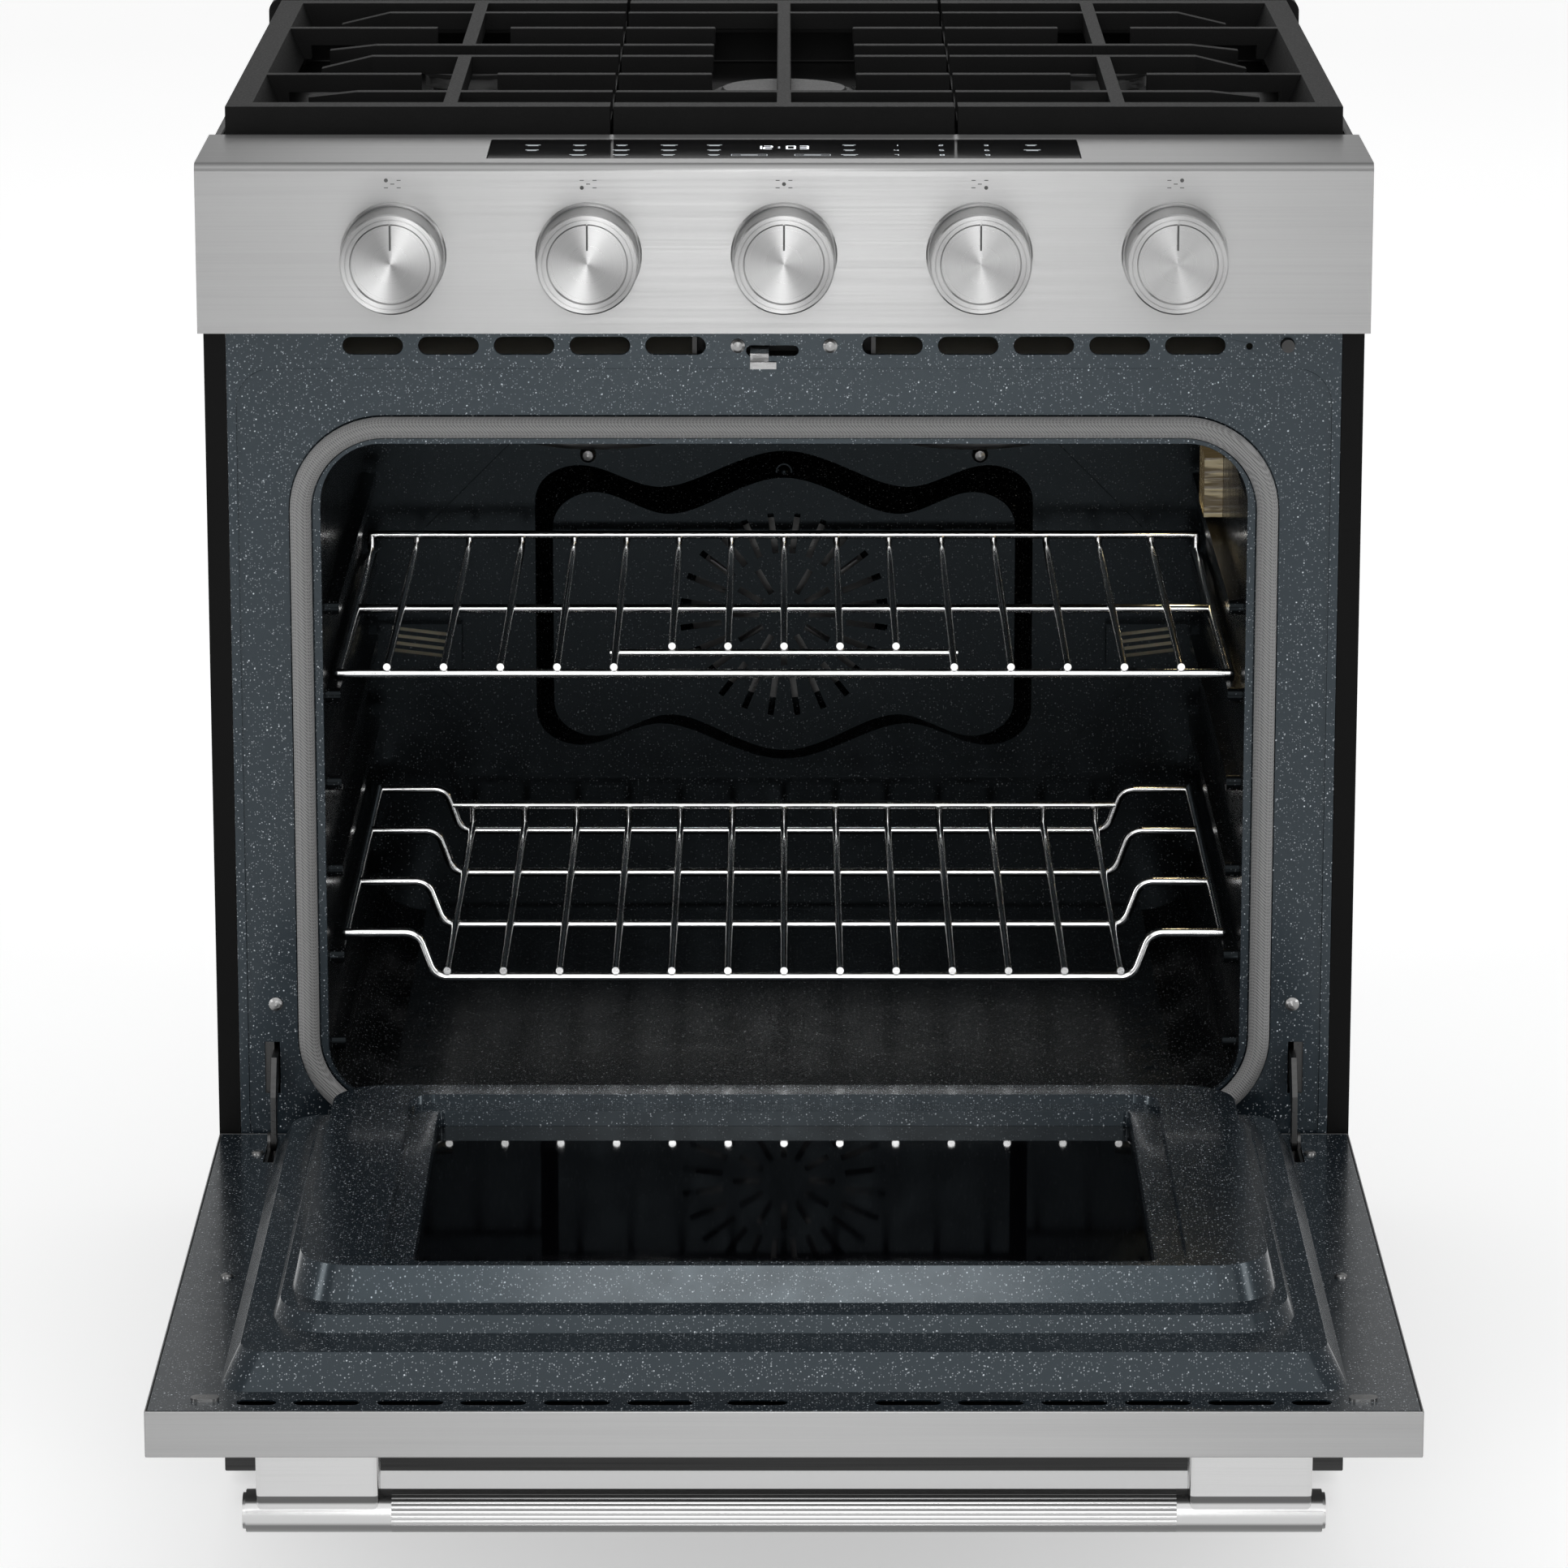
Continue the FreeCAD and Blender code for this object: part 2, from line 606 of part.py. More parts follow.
def make_convection_motor():
    """Fan motor behind the oven's back wall."""
    body = fuse("motor_body", [
        rod("motor_flange", "y", ("0", "548.6", "fan_z"), "3", "42"),
        rod("motor_can", "y", ("0", "551", "fan_z"), "56", "36"),
    ])
    bore = rod("motor_bore", "y", ("0", "548", "fan_z"), "30", "4 + running")
    node("convection_motor", cut("convection_motor", body, [bore]))


def make_convection_fan():
    """Fan wheel with its shaft, which turns in the motor."""
    pieces = [
        rod("fan_disc", "y", ("0", "540", "fan_z"), "1.5", "68"),
        rod("fan_hub", "y", ("0", "528", "fan_z"), "13", "12"),
        rod("fan_shaft", "y", ("0", "540", "fan_z"), "36", "4"),
    ]
    for step in range(10):
        centre = ("0", "525", "fan_z")
        pieces.append(spoke(f"fan_blade_{step}", centre, 36 * step, "0", "66", "15.5", "1.4"))
    node("convection_fan", fuse("convection_fan", pieces))


def make_oven_lamp():
    """Oven lamp cover on the right wall."""
    dome = box("lamp_outside", ("oven_half - 13", "oven_half - 0.2"), ("302", "358"), ("620", "662"))
    inside = box("lamp_inside", ("oven_half - 10.5", "oven_half + 1"), ("304.5", "355.5"), ("622.5", "659.5"))
    node("oven_lamp", cut("oven_lamp", dome, [inside]))


# ---------------------------------------------------------------- racks
def rail_set(name, depth, half, level, radius):
    """Make one cross rail."""
    return rod(name, "x", (f"-({half})", depth, level), f"2 * ({half})", radius)


def make_upper_rack():
    """Flat wire rack with an inset front bar, so that a hand can reach under the food."""
    wire_z = "upper_z + rack_rail + rack_wire - 0.5"
    stop_z = "upper_z + 12"
    pieces = [
        rail_set("upper_front", "rack_front", "rack_half", "upper_z", "rack_rail"),
        rail_set("upper_middle", "307", "rack_half", "upper_z", "rack_rail"),
        rail_set("upper_inset", "168.5", "3 * rack_pitch + 4", "upper_z", "rack_wire"),
        rail_set("upper_stop", "upper_back", "rack_half", stop_z, "rack_rail"),
    ]
    for side, word in SIDES:
        x = f"{side} * rack_half"
        length = "upper_back - rack_front"
        pieces.append(rod(f"upper_side_{word}", "y", (x, "rack_front", "upper_z"), length, "rack_rail"))
        pieces.append(ball(f"upper_front_end_{word}", (x, "rack_front", "upper_z"), "rack_rail"))
        pieces.append(ball(f"upper_back_end_{word}", (x, "upper_back", "upper_z"), "rack_rail"))
        pieces.append(rod(f"upper_rise_{word}", "z", (x, "upper_back", "upper_z"), "12", "rack_rail"))
        pieces.append(ball(f"upper_stop_end_{word}", (x, "upper_back", stop_z), "rack_rail"))
    for step in range(-7, 8):
        x = f"{step} * rack_pitch"
        start = "166" if abs(step) < 3 else "rack_front - rack_rail"
        pieces.append(rod(f"upper_wire_{step + 7}", "y", (x, start, wire_z), f"upper_back - ({start})",
                          "rack_wire"))
        pieces.append(rod(f"upper_hook_{step + 7}", "z", (x, "upper_back", wire_z), "7", "rack_wire"))
    node("upper_rack", fuse("upper_rack", pieces))


RAIL_TURN = math.radians(70)
RAIL_BEND = 12
RAIL_FOOT = 228


def rail_arc(name, side, centre, start):
    """Make one bend of a dropped rail; start is -1 for the bend at its foot and +1 for the upper one."""
    first = V(0, 0, start)
    second = V(-start * side, 0, 0)
    turn = FreeCAD.Rotation(first, second, first.cross(second), "XYZ")
    return bend(name, centre, turn, RAIL_BEND, "rack_rail", math.degrees(RAIL_TURN))


def dropped_rail(name, depth):
    """Make a cross rail of the lower rack: high at both ends, dropped between two smooth S bends."""
    low = "lower_z - lower_drop"
    reach = RAIL_BEND * math.sin(RAIL_TURN)
    rise = RAIL_BEND * (1 - math.cos(RAIL_TURN))
    upright = f"(lower_drop - {2 * rise:.5f})"
    end = f"{RAIL_FOOT + 2 * reach:.5f} + {upright} / {math.tan(RAIL_TURN):.5f}"
    pieces = [rail_set(name + "_low", depth, RAIL_FOOT, low, "rack_rail")]
    for side, word in SIDES:
        start = sided(side, end, "rack_half - 2.5")[0]
        length = f"rack_half - 2.5 - ({end})"
        pieces.append(rod(f"{name}_high_{word}", "x", (start, depth, "lower_z"), length, "rack_rail"))
        foot = (f"{side * RAIL_FOOT}", depth, f"{low} + {RAIL_BEND}")
        pieces.append(rail_arc(f"{name}_foot_{word}", side, foot, -1))
        knee = (f"{side} * ({end})", depth, f"lower_z - {RAIL_BEND}")
        pieces.append(rail_arc(f"{name}_knee_{word}", side, knee, 1))
        lean = doc.addObject("Part::Cylinder", f"{name}_lean_{word}")
        tilt = 90 - math.degrees(RAIL_TURN)
        lean.Placement = FreeCAD.Placement(V(0, 0, 0), FreeCAD.Rotation(V(0, 1, 0), side * tilt))
        bind(lean, "Radius", "rack_rail")
        bind(lean, "Height", f"{upright} / {math.sin(RAIL_TURN):.5f}")
        place(lean, (f"{side} * {RAIL_FOOT + reach:.5f}", depth, f"{low} + {rise:.5f}"))
        pieces.append(lean)
    return pieces


def make_lower_rack():
    """Offset wire rack: its middle hangs below the side rails that ride on the ledges."""
    wire_z = "lower_z - lower_drop + rack_rail + rack_wire - 0.5"
    stop_z = "lower_z - 12"
    side_x = "rack_half - 2.5"
    pieces = []
    for index, depth in enumerate(("rack_front", "242", "385", "lower_back")):
        pieces.extend(dropped_rail(f"lower_rail_{index}", depth))
    pieces.append(rail_set("lower_stop", "lower_back", "243", stop_z, "rack_rail"))
    for side, word in SIDES:
        x = f"{side} * ({side_x})"
        length = "lower_back - rack_front"
        pieces.append(rod(f"lower_side_{word}", "y", (x, "rack_front", "lower_z"), length, "rack_rail"))
        pieces.append(ball(f"lower_front_end_{word}", (x, "rack_front", "lower_z"), "rack_rail"))
        pieces.append(ball(f"lower_back_end_{word}", (x, "lower_back", "lower_z"), "rack_rail"))
    for step in range(-6, 7):
        x = f"{step} * rack_pitch"
        start = (x, "rack_front - rack_rail", wire_z)
        pieces.append(rod(f"lower_wire_{step + 6}", "y", start, "lower_back - rack_front + rack_rail",
                          "rack_wire"))
        pieces.append(rod(f"lower_hook_{step + 6}", "z", (x, "lower_back", wire_z), "13", "rack_wire"))
    node("lower_rack", fuse("lower_rack", pieces))


# ---------------------------------------------------------------- cooktop
def make_cooktop_pan():
    """Cooktop: a shallow black pan with a raised rim and a hole under each burner."""
    block = box("pan_block", both(HALF), ("console_deep + 0.5", "673.7"), ("panel_top + 0.3", "pan_rim"))
    well = box("pan_well", both(f"{HALF} - 6"), ("128.5", "670.5"), ("pan_floor", "pan_rim + 1"))
    under = box("pan_under", both(f"{HALF} - 3"), ("126", "671.5"), ("panel_top - 1", "pan_floor - 2"))
    holes = [
        rod(f"pan_hole_{index}", "z", (x, depth, "pan_floor - 4"), "6", "5")
        for index, (x, depth, reach) in enumerate(BURNERS)
    ]
    node("cooktop_pan", cut("cooktop_pan", block, [well, under] + holes))


BURNERS = [
    # X, depth and cap radius, in the order of the knobs from left to right
    ("-burner_x", "burner_rear", "36"),
    ("-burner_x", "burner_front", "40"),
    ("0", "burner_mid", "50"),
    ("burner_x", "burner_front", "46"),
    ("burner_x", "burner_rear", "40"),
]


def make_burners():
    """Burner heads, caps and spark igniters."""
    heads = []
    caps = []
    sparks = []
    for index, (x, depth, reach) in enumerate(BURNERS):
        base = (x, depth, "pan_floor")
        heads.append(turned(f"head_{index}", "z", base, [
            ("4", "0"), (f"{reach} * 0.82", "0"), (f"{reach} * 0.82", "4"), (f"{reach} - 1", "6"),
            (f"{reach} - 1", "13.5"), (f"{reach} - 4", "13.5"), (f"{reach} - 4", "9"), ("4", "9")]))
        caps.append(turned(f"cap_{index}", "z", base, [
            ("0", "13.7"), (reach, "13.7"), (reach, "16.4"), (f"{reach} - 2", "17.6"),
            (f"{reach} - 6", "18.6"),
            (f"{reach} - 7.5", "20"), ("0", "20")]))
        sparks.append(turned(f"spark_{index}", "z", (f"{x} + {reach} + 6", depth, "pan_floor"), [
            ("0", "0"), ("3", "0"), ("3", "9"), ("1.2", "10"), ("1.2", "15"), ("0", "15")]))
    node("burner_heads", group("burner_heads", heads))
    node("burner_caps", group("burner_caps", caps))
    node("spark_igniters", group("spark_igniters", sparks))


def make_rear_trim():
    """Vent trim across the back of the cooktop, with rounded top ends and three long slots."""
    depth = ("674.2", "rear_y")
    radius = "9"
    body = fuse("trim_body", [
        box("trim_middle", both(f"{HALF} - {radius}"), depth, ("panel_top + 0.3", "grate_top")),
        box("trim_full", both(HALF), depth, ("panel_top + 0.3", f"grate_top - {radius}")),
        rod("trim_end_left", "y", (f"-({HALF} - {radius})", depth[0], f"grate_top - {radius}"),
            f"{depth[1]} - {depth[0]}", radius),
        rod("trim_end_right", "y", (f"{HALF} - {radius}", depth[0], f"grate_top - {radius}"),
            f"{depth[1]} - {depth[0]}", radius),
    ])
    under = box("trim_inside", both(f"{HALF} - 3"), ("677", "697"), ("panel_top - 1", "grate_top - 12"))
    slots = [
        box(f"trim_slot_{step}", (f"{step} * 200 - 80", f"{step} * 200 + 80"), ("683", "691"),
            ("grate_top - 14", "grate_top + 1"))
        for step in (-1, 0, 1)
    ]
    node("rear_vent_trim", cut("rear_vent_trim", body, [under] + slots))


def grate_bars(name, side, outer):
    """Return the bars of one grate; side is 0 for the middle grate."""
    top = "grate_top"
    under = "grate_top - bar_deep"
    inner = "split - 1" if side == 0 else "split + 1"
    pieces = []

    def bar(word, span, depth, low=under):
        """Add one straight bar, along X or Y."""
        pieces.append(box(f"{name}_{word}", span, depth, (low, top)))

    def across(near, far):
        """Return an X span on this grate's side."""
        return sided(1 if side == 0 else side, near, far)

    whole = both(inner) if side == 0 else across(inner, outer)
    bar("front_rim", whole, ("grate_front", "grate_front + 20"), "rim_low")
    bar("rear_rim", whole, ("grate_back - 17", "grate_back"), "rim_low")
    if side == 0:
        lanes = [(both("bar_wide / 2"), ("grate_front + 10", "grate_back - 10"))]
        rims = [(-1, "left"), (1, "right")]
    else:
        middle = across("burner_x - bar_wide / 2", "burner_x + bar_wide / 2")
        lanes = [(middle, ("grate_front + 10", "burner_mid - 23")),
                 (middle, ("burner_mid + 23", "grate_back - 10"))]
        rims = [(side, "split")]
    for index, (span, depth) in enumerate(lanes):
        bar(f"spine_{index}", span, depth, "grate_top - bar_deep - 2")
    for rim_side, word in rims:
        near, far = ("split - 11", "split - 1") if side == 0 else ("split + 1", "split + 11")
        pieces.append(box(f"{name}_rim_{word}", sided(rim_side, near, far),
                          ("grate_front + 2", "grate_back - 2"),
                          ("rim_low - 4", "grate_top - 13")))
    rows = ("burner_mid - 198", "burner_mid - 28", "burner_mid + 28", "burner_mid + 198")
    for index, row in enumerate(rows):
        band = (f"{row} - bar_wide / 2", f"{row} + bar_wide / 2")
        if side:
            bar(f"through_{index}", across(inner, "286"), band)
            lean = 1 if index % 2 == 0 else -1
            tip = (f"{row} + {lean * 17} - bar_wide / 2", f"{row} + {lean * 17} + bar_wide / 2")
            pieces.append(sloping_tip(f"{name}_tip_{index}", side, band, tip))
        elif index in (0, 3):
            bar(f"through_{index}", both(inner), band)
        else:
            for word, word_side in (("left", -1), ("right", 1)):
                bar(f"finger_{index}_{word}", sided(word_side, "49", inner), band)
    for index, row in enumerate(("burner_front", "burner_rear")):
        band = (f"{row} - bar_wide / 2", f"{row} + bar_wide / 2")
        if side:
            bar(f"inner_finger_{index}", across(inner, "burner_x - 26"), band)
            bar(f"outer_finger_{index}", across("burner_x + 26", f"{outer} - 8"), band)
            pieces.append(box(f"{name}_gusset_{index}", across("338", f"{outer} - 8"), band,
                              ("rim_low", top)))
        else:
            for word, word_side in (("left", -1), ("right", 1)):
                bar(f"burner_finger_{index}_{word}", sided(word_side, "49", inner), band)
    for index, row in enumerate(rows + ("burner_front", "burner_rear")):
        band = (f"{row} - bar_wide / 2", f"{row} + bar_wide / 2")
        for rim_side, word in rims:
            lower, upper = (("split - 22", "split - 1"), ("split - 58", "split - 1"))
            if side:
                lower, upper = (("split + 1", "split + 22"), ("split + 1", "split + 58"))
            pieces.append(frustum(f"{name}_root_{index}_{word}", sided(rim_side, *lower),
                                  sided(rim_side, *upper),
                                  band, band, ("rim_low + 2", "grate_top - 8")))
    if side:
        pieces.append(frustum(f"{name}_outer_rim", across(f"{outer} - 27", outer),
                              across(f"{outer} - 17", outer),
                              ("grate_front", "grate_back"), ("grate_front", "grate_back"), ("rim_low", top)))
    foot_spans = [sided(-1, "split - 16", "split - 4"), sided(1, "split - 16", "split - 4")]
    if side:
        foot_spans = [across("split + 4", "split + 16"), across(f"{outer} - 18", f"{outer} - 6")]
    for index, span in enumerate(foot_spans):
        for end, depth in enumerate((("grate_front + 4", "grate_front + 16"),
                                     ("grate_back - 16", "grate_back - 4"))):
            pieces.append(box(f"{name}_foot_{index}_{end}", span, depth, ("pan_floor", "rim_low + 4")))
    return pieces


def sloping_tip(name, side, band, tip):
    """Make the free end of a through bar, which bends towards its burner and drops a little."""
    item = doc.addObject("Part::Wedge", name)
    item.Placement = FreeCAD.Placement(V(0, 0, 0), FreeCAD.Rotation(V(0, 0, 1), -90 * side))
    low = "grate_top - bar_deep"
    first, last = (band, tip)
    if side > 0:
        bind(item, "Xmin", f"-({shifted(first[1])})")
        bind(item, "Xmax", f"-({shifted(first[0])})")
        bind(item, "X2min", f"-({shifted(last[1])})")
        bind(item, "X2max", f"-({shifted(last[0])})")
    else:
        bind(item, "Xmin", shifted(first[0]))
        bind(item, "Xmax", shifted(first[1]))
        bind(item, "X2min", shifted(last[0]))
        bind(item, "X2max", shifted(last[1]))
    bind(item, "Zmin", low)
    bind(item, "Zmax", "grate_top")
    bind(item, "Z2min", f"{low} - 5")
    bind(item, "Z2max", "grate_top - 6")
    bind(item, "Ymin", "286")
    bind(item, "Ymax", "320")
    return item


def make_grates():
    """Three cast grates that lift off the cooktop."""
    node("grate_left", fuse("grate_left", grate_bars("gl", -1, "grate_half")))
    node("grate_center", fuse("grate_center", grate_bars("gc", 0, "split - 1")))
    node("grate_right", fuse("grate_right", grate_bars("gr", 1, "grate_half")))


# ---------------------------------------------------------------- controls and gas line
def knob_x(step):
    """Return the X of knob 0 to 4, from left to right."""
    return f"{step - 2} * knob_pitch"


def make_control_panel():
    """Control panel: a folded stainless shell with a rounded top edge, knob holes and display ledge."""
    edge = "5"
    wall = "3"
    solid = fuse("console_solid", [
        box("console_low_block", both(HALF), ("0", "console_deep"), ("console_low", f"console_top - {edge}")),
        box("console_high_block", both(HALF), (edge, "console_deep"), ("console_low", "console_top")),
        rod("console_edge", "x", (f"-{HALF}", edge, f"console_top - {edge}"), "body_width", edge),
    ])
    tools = [
        box("console_hollow", both(f"{HALF} - {wall}"), (wall, "console_deep + 1"),
            ("console_low + 2", f"console_top - {wall}")),
        box("console_open_base", both(f"{HALF} - {wall}"), ("50", "console_deep + 1"),
            ("console_low - 1", "console_low + 3")),
        box("display_hole", both("186"), ("27", "96"), ("console_top - 4", "console_top + 1")),
        box("display_ledge", both("192.3"), ("20.7", "102.3"), ("console_top - 1.6", "console_top + 1")),
    ]
    for step in range(5):
        tools.append(rod(f"console_hole_{step}", "y", (knob_x(step), "-1", "knob_z"), "5", "6"))
    node("control_panel", cut("control_panel", solid, tools))


def make_control_glass():
    """Glass touch display in the panel's top."""
    node("control_glass", box("control_glass", both("192"), ("21", "102"),
                              ("console_top - 1.6", "console_top")))


def make_control_board():
    """Housing of the electronics under the display."""
    case = box("board_case", both("150"), ("30", "100"), ("884", "904"))
    inside = box("board_inside", both("148"), ("32", "98"), ("886", "905"))
    node("control_board", cut("control_board", case, [inside]))


def make_bezels():
    """Round bezel behind each knob."""
    shape = [("4.5", "0"), ("bezel_r", "0"), ("bezel_r", "-1.8"), ("bezel_r - 1", "-2.8"),
             ("bezel_r - 2.4", "-2.8"),
             ("bezel_r - 3", "-1.4"), ("4.5", "-1.4")]
    rings = [turned(f"bezel_{step}", "y", (knob_x(step), "0", "knob_z"), shape) for step in range(5)]
    node("knob_bezels", group("knob_bezels", rings))


def make_knob(step):
    """Hollow metal knob with a recessed face, a ring groove and a pointer cut at 12 o'clock."""
    face = "-knob_out"
    bore = "stem_r + running"
    shape = [
        (bore, "-5.4"), ("8", "-5.4"), ("8", f"{face} + 5"), ("knob_r - 3.4", f"{face} + 5"),
        ("knob_r - 3.4", "-5.4"),
        ("knob_r - 2.2", "-5.4"), ("knob_r", "-7.6"), ("knob_r", f"{face} + 1"), ("knob_r - 1", face),
        ("29.4", face), ("29.4", f"{face} + 0.9"), ("28.7", f"{face} + 0.9"), ("28.7", face), ("26.2", face),
        ("25.2", f"{face} + 1.4"), ("0", f"{face} + 1.4"), ("0", f"{face} + 5"), (bore, f"{face} + 5"),
    ]
    body = turned(f"knob_body_{step}", "y", (knob_x(step), "0", "knob_z"), shape)
    x = knob_x(step)
    pointer = box(f"pointer_{step}", (f"{x} - 0.6", f"{x} + 0.6"), (f"{face} - 1", f"{face} + 1.8"),
                  ("knob_z + 11", "knob_z + 28.4"))
    node(f"knob_{step + 1}", cut(f"knob_{step + 1}", body, [pointer]))


def make_valve_stem(step):
    """Valve stem with a flat at its front end."""
    round_bar = rod(f"stem_bar_{step}", "y", (knob_x(step), "8.5 - knob_out", "knob_z"), "46.5 + knob_out",
                    "stem_r")
    x = knob_x(step)
    flat = box(f"stem_flat_{step}", (f"{x} - 4", f"{x} + 4"), ("0 - knob_out", "22 - knob_out"),
               ("knob_z - 4", "knob_z - 2.2"))
    node(f"valve_stem_{step + 1}", cut(f"valve_stem_{step + 1}", round_bar, [flat]))


def make_valves():
    """Five burner valves on the manifold, each with a bore for its stem."""
    valves = []
    for step in range(5):
        x = knob_x(step)
        body = fuse(f"valve_body_{step}", [
            box(f"valve_block_{step}", (f"{x} - 13", f"{x} + 13"), ("30", "80"), ("839", "869")),
            rod(f"valve_nose_{step}", "y", (x, "12", "knob_z"), "19", "8"),
        ])
        bore = rod(f"valve_bore_{step}", "y", (x, "11", "knob_z"), "46", "stem_r + running")
        valves.append(cut(f"valve_{step}", body, [bore]))
    node("burner_valves", group("burner_valves", valves))


def make_manifold():
    """Square manifold tube with the supply pipe that comes up from the regulator."""
    tube = box("manifold_tube", both("290"), ("50", "68"), ("821", "839"))
    pipe = path_bar("supply", [("-289", "59", "830"), ("-367", "59", "830"), ("-367", "59", "90"),
                               ("-367", "645", "90"), ("-240", "645", "90")], "6")
    inside = box("manifold_inside", both("287"), ("52", "66"), ("823", "837"))
    hollow = cut("manifold_hollow", tube, [inside])
    node("gas_manifold", fuse("gas_manifold", [hollow] + pipe))


def make_feed_tubes():
    """Thin tubes from each valve to its burner."""
    tubes = []
    for step, (x, depth, reach) in enumerate(BURNERS):
        start = knob_x(step)
        pieces = [rod(f"feed_run_{step}", "y", (start, "80", "862"), f"{depth} - 80", "4"),
                  ball(f"feed_turn_{step}", (start, depth, "862"), "4"),
                  rod(f"feed_rise_{step}", "z", (x, depth, "862"), "pan_floor - 862", "4")]
        if step != 2:
            left, right = (start, x) if step in (0, 3) else (x, start)
            pieces.append(rod(f"feed_side_{step}", "x", (left, depth, "862"), f"({right}) - ({left})", "4"))
            pieces.append(ball(f"feed_foot_{step}", (x, depth, "862"), "4"))
        tubes.append(fuse(f"feed_{step}", pieces))
    node("burner_feed_tubes", group("burner_feed_tubes", tubes))


def make_regulator():
    """Gas pressure regulator at the lower rear, with its threaded inlet reaching the rear panel."""
    body = fuse("regulator_body", [
        box("regulator_block", ("-240", "-180"), ("615", "675"), ("60", "120")),
        rod("regulator_dome", "z", ("-210", "645", "119"), "17", "24"),
        rod("regulator_neck", "y", ("-210", "674", "90"), "25", "13"),
    ])
    bore = rod("regulator_bore", "y", ("-210", "681", "90"), "19", "9.5")
    node("pressure_regulator", cut("pressure_regulator", body, [bore]))


# ---------------------------------------------------------------- door and its fittings
def make_hinge_arms():
    """Hinge arms on the body: each reaches out of its slot and down to the door's pivot."""
    arms = []
    shape = [
        ("pivot_y - 7", "pivot_z"), ("pivot_y - 5.5", "285"), ("30", "308"), ("110", "308"), ("110", "284"),
        ("40", "284"), ("27", "270"), ("pivot_y + 7", "pivot_z"),
    ]
    for side, word in SIDES:
        across = sided(side, "arm_in", "arm_out")
        plate = profile_pad(f"arm_plate_{word}", across, shape)
        end = rod(f"arm_end_{word}", "x", (across[0], "pivot_y", "pivot_z"), "arm_out - arm_in", "7")
        pocket = box(f"arm_receiver_{word}", sided(side, "arm_out - 0.5", "arm_out + 8"), ("50", "112"),
                     ("276", "316"))
        hole = rod(f"arm_hole_{word}", "x", (f"{across[0]} - 1", "pivot_y", "pivot_z"),
                   "arm_out - arm_in + 2",
                   "3.5 + running")
        arms.append(cut(f"arm_{word}", fuse(f"arm_solid_{word}", [plate, end, pocket]), [hole]))
    node("hinge_arms", group("hinge_arms", arms))


def make_hinge_channels():
    """Hinge channels inside the door: a long U section with an ear and a pin at the pivot."""
    channels = []
    for side, word in SIDES:
        across = sided(side, "ear_in", "ear_out")
        low = "door_low + skin + 0.5"
        pieces = [
            box(f"channel_base_{word}", sided(side, "335", "ear_out"), ("-150", "40"), (low, f"{low} + 2")),
            box(f"channel_inner_{word}", sided(side, "335", "337"), ("-150", "40"), (low, "door_face - 6")),
            box(f"channel_outer_{word}", across, ("-150", "40"), (low, "door_face - 2")),
            box(f"ear_{word}", across, ("pivot_y - 6", "pivot_y + 6"), (low, "pivot_z")),
            rod(f"ear_top_{word}", "x", (across[0], "pivot_y", "pivot_z"), "ear_out - ear_in", "6"),
            rod(f"pin_{word}", "x", (sided(side, "arm_in - 0.2", "ear_out")[0], "pivot_y", "pivot_z"),
                "ear_out - arm_in + 0.2", "3.5"),
        ]
        channels.append(fuse(f"channel_{word}", pieces))
    node("door_hinge_channels", group("door_hinge_channels", channels))


def make_door_outer_panel():
    """Stainless door skin: a folded tray with the window cut out of its face."""
    tray = box("skin_tray", both(HALF), ("-door_reach", "door_heel"), ("door_low", "door_face"))
    inside = box("skin_inside", both(f"{HALF} - skin"), ("skin - door_reach", "door_heel - skin"),
                 ("door_low + skin", "door_face + 1"))
    window = box("skin_window", both("window_half - 1"), ("-window_far", "-window_near"),
                 ("door_low - 1", "door_low + 3"))
    node("door_outer_panel", cut("door_outer_panel", tray, [inside, window]))


STEPS = [
    # height above the flange, half width, far and near depth, at the foot and at the top of each
    # step, then the radius of the step's corners
    (("0", "338", "489", "26"), ("20", "327", "473", "21"), 22),
    (("20", "311", "438", "-3"), ("30", "307", "433", "-7"), 42),
    (("30", "301", "410", "-13"), ("52", "296", "404", "-17"), 36),
]


def door_steps(name, shrink):
    """Return the three stepped blocks of the inner panel, shrunk all round (mm) for its hollow side."""
    blocks = []
    for index, (foot, top, corner) in enumerate(STEPS):
        spans = []
        for height, half, far, near in (foot, top):
            spans.append((both(f"{half} - {shrink}"), (f"{shrink} - {far}", f"{near} - {shrink}")))
        low = f"door_face + {foot[0]} - {shrink} - 0.6"
        high = f"door_face + {top[0]} - {shrink}"
        block = frustum(f"{name}_{index}", spans[0][0], spans[1][0], spans[0][1], spans[1][1], (low, high))
        blocks.append(softened(f"{name}_{index}_soft", block, corner - shrink))
    return blocks


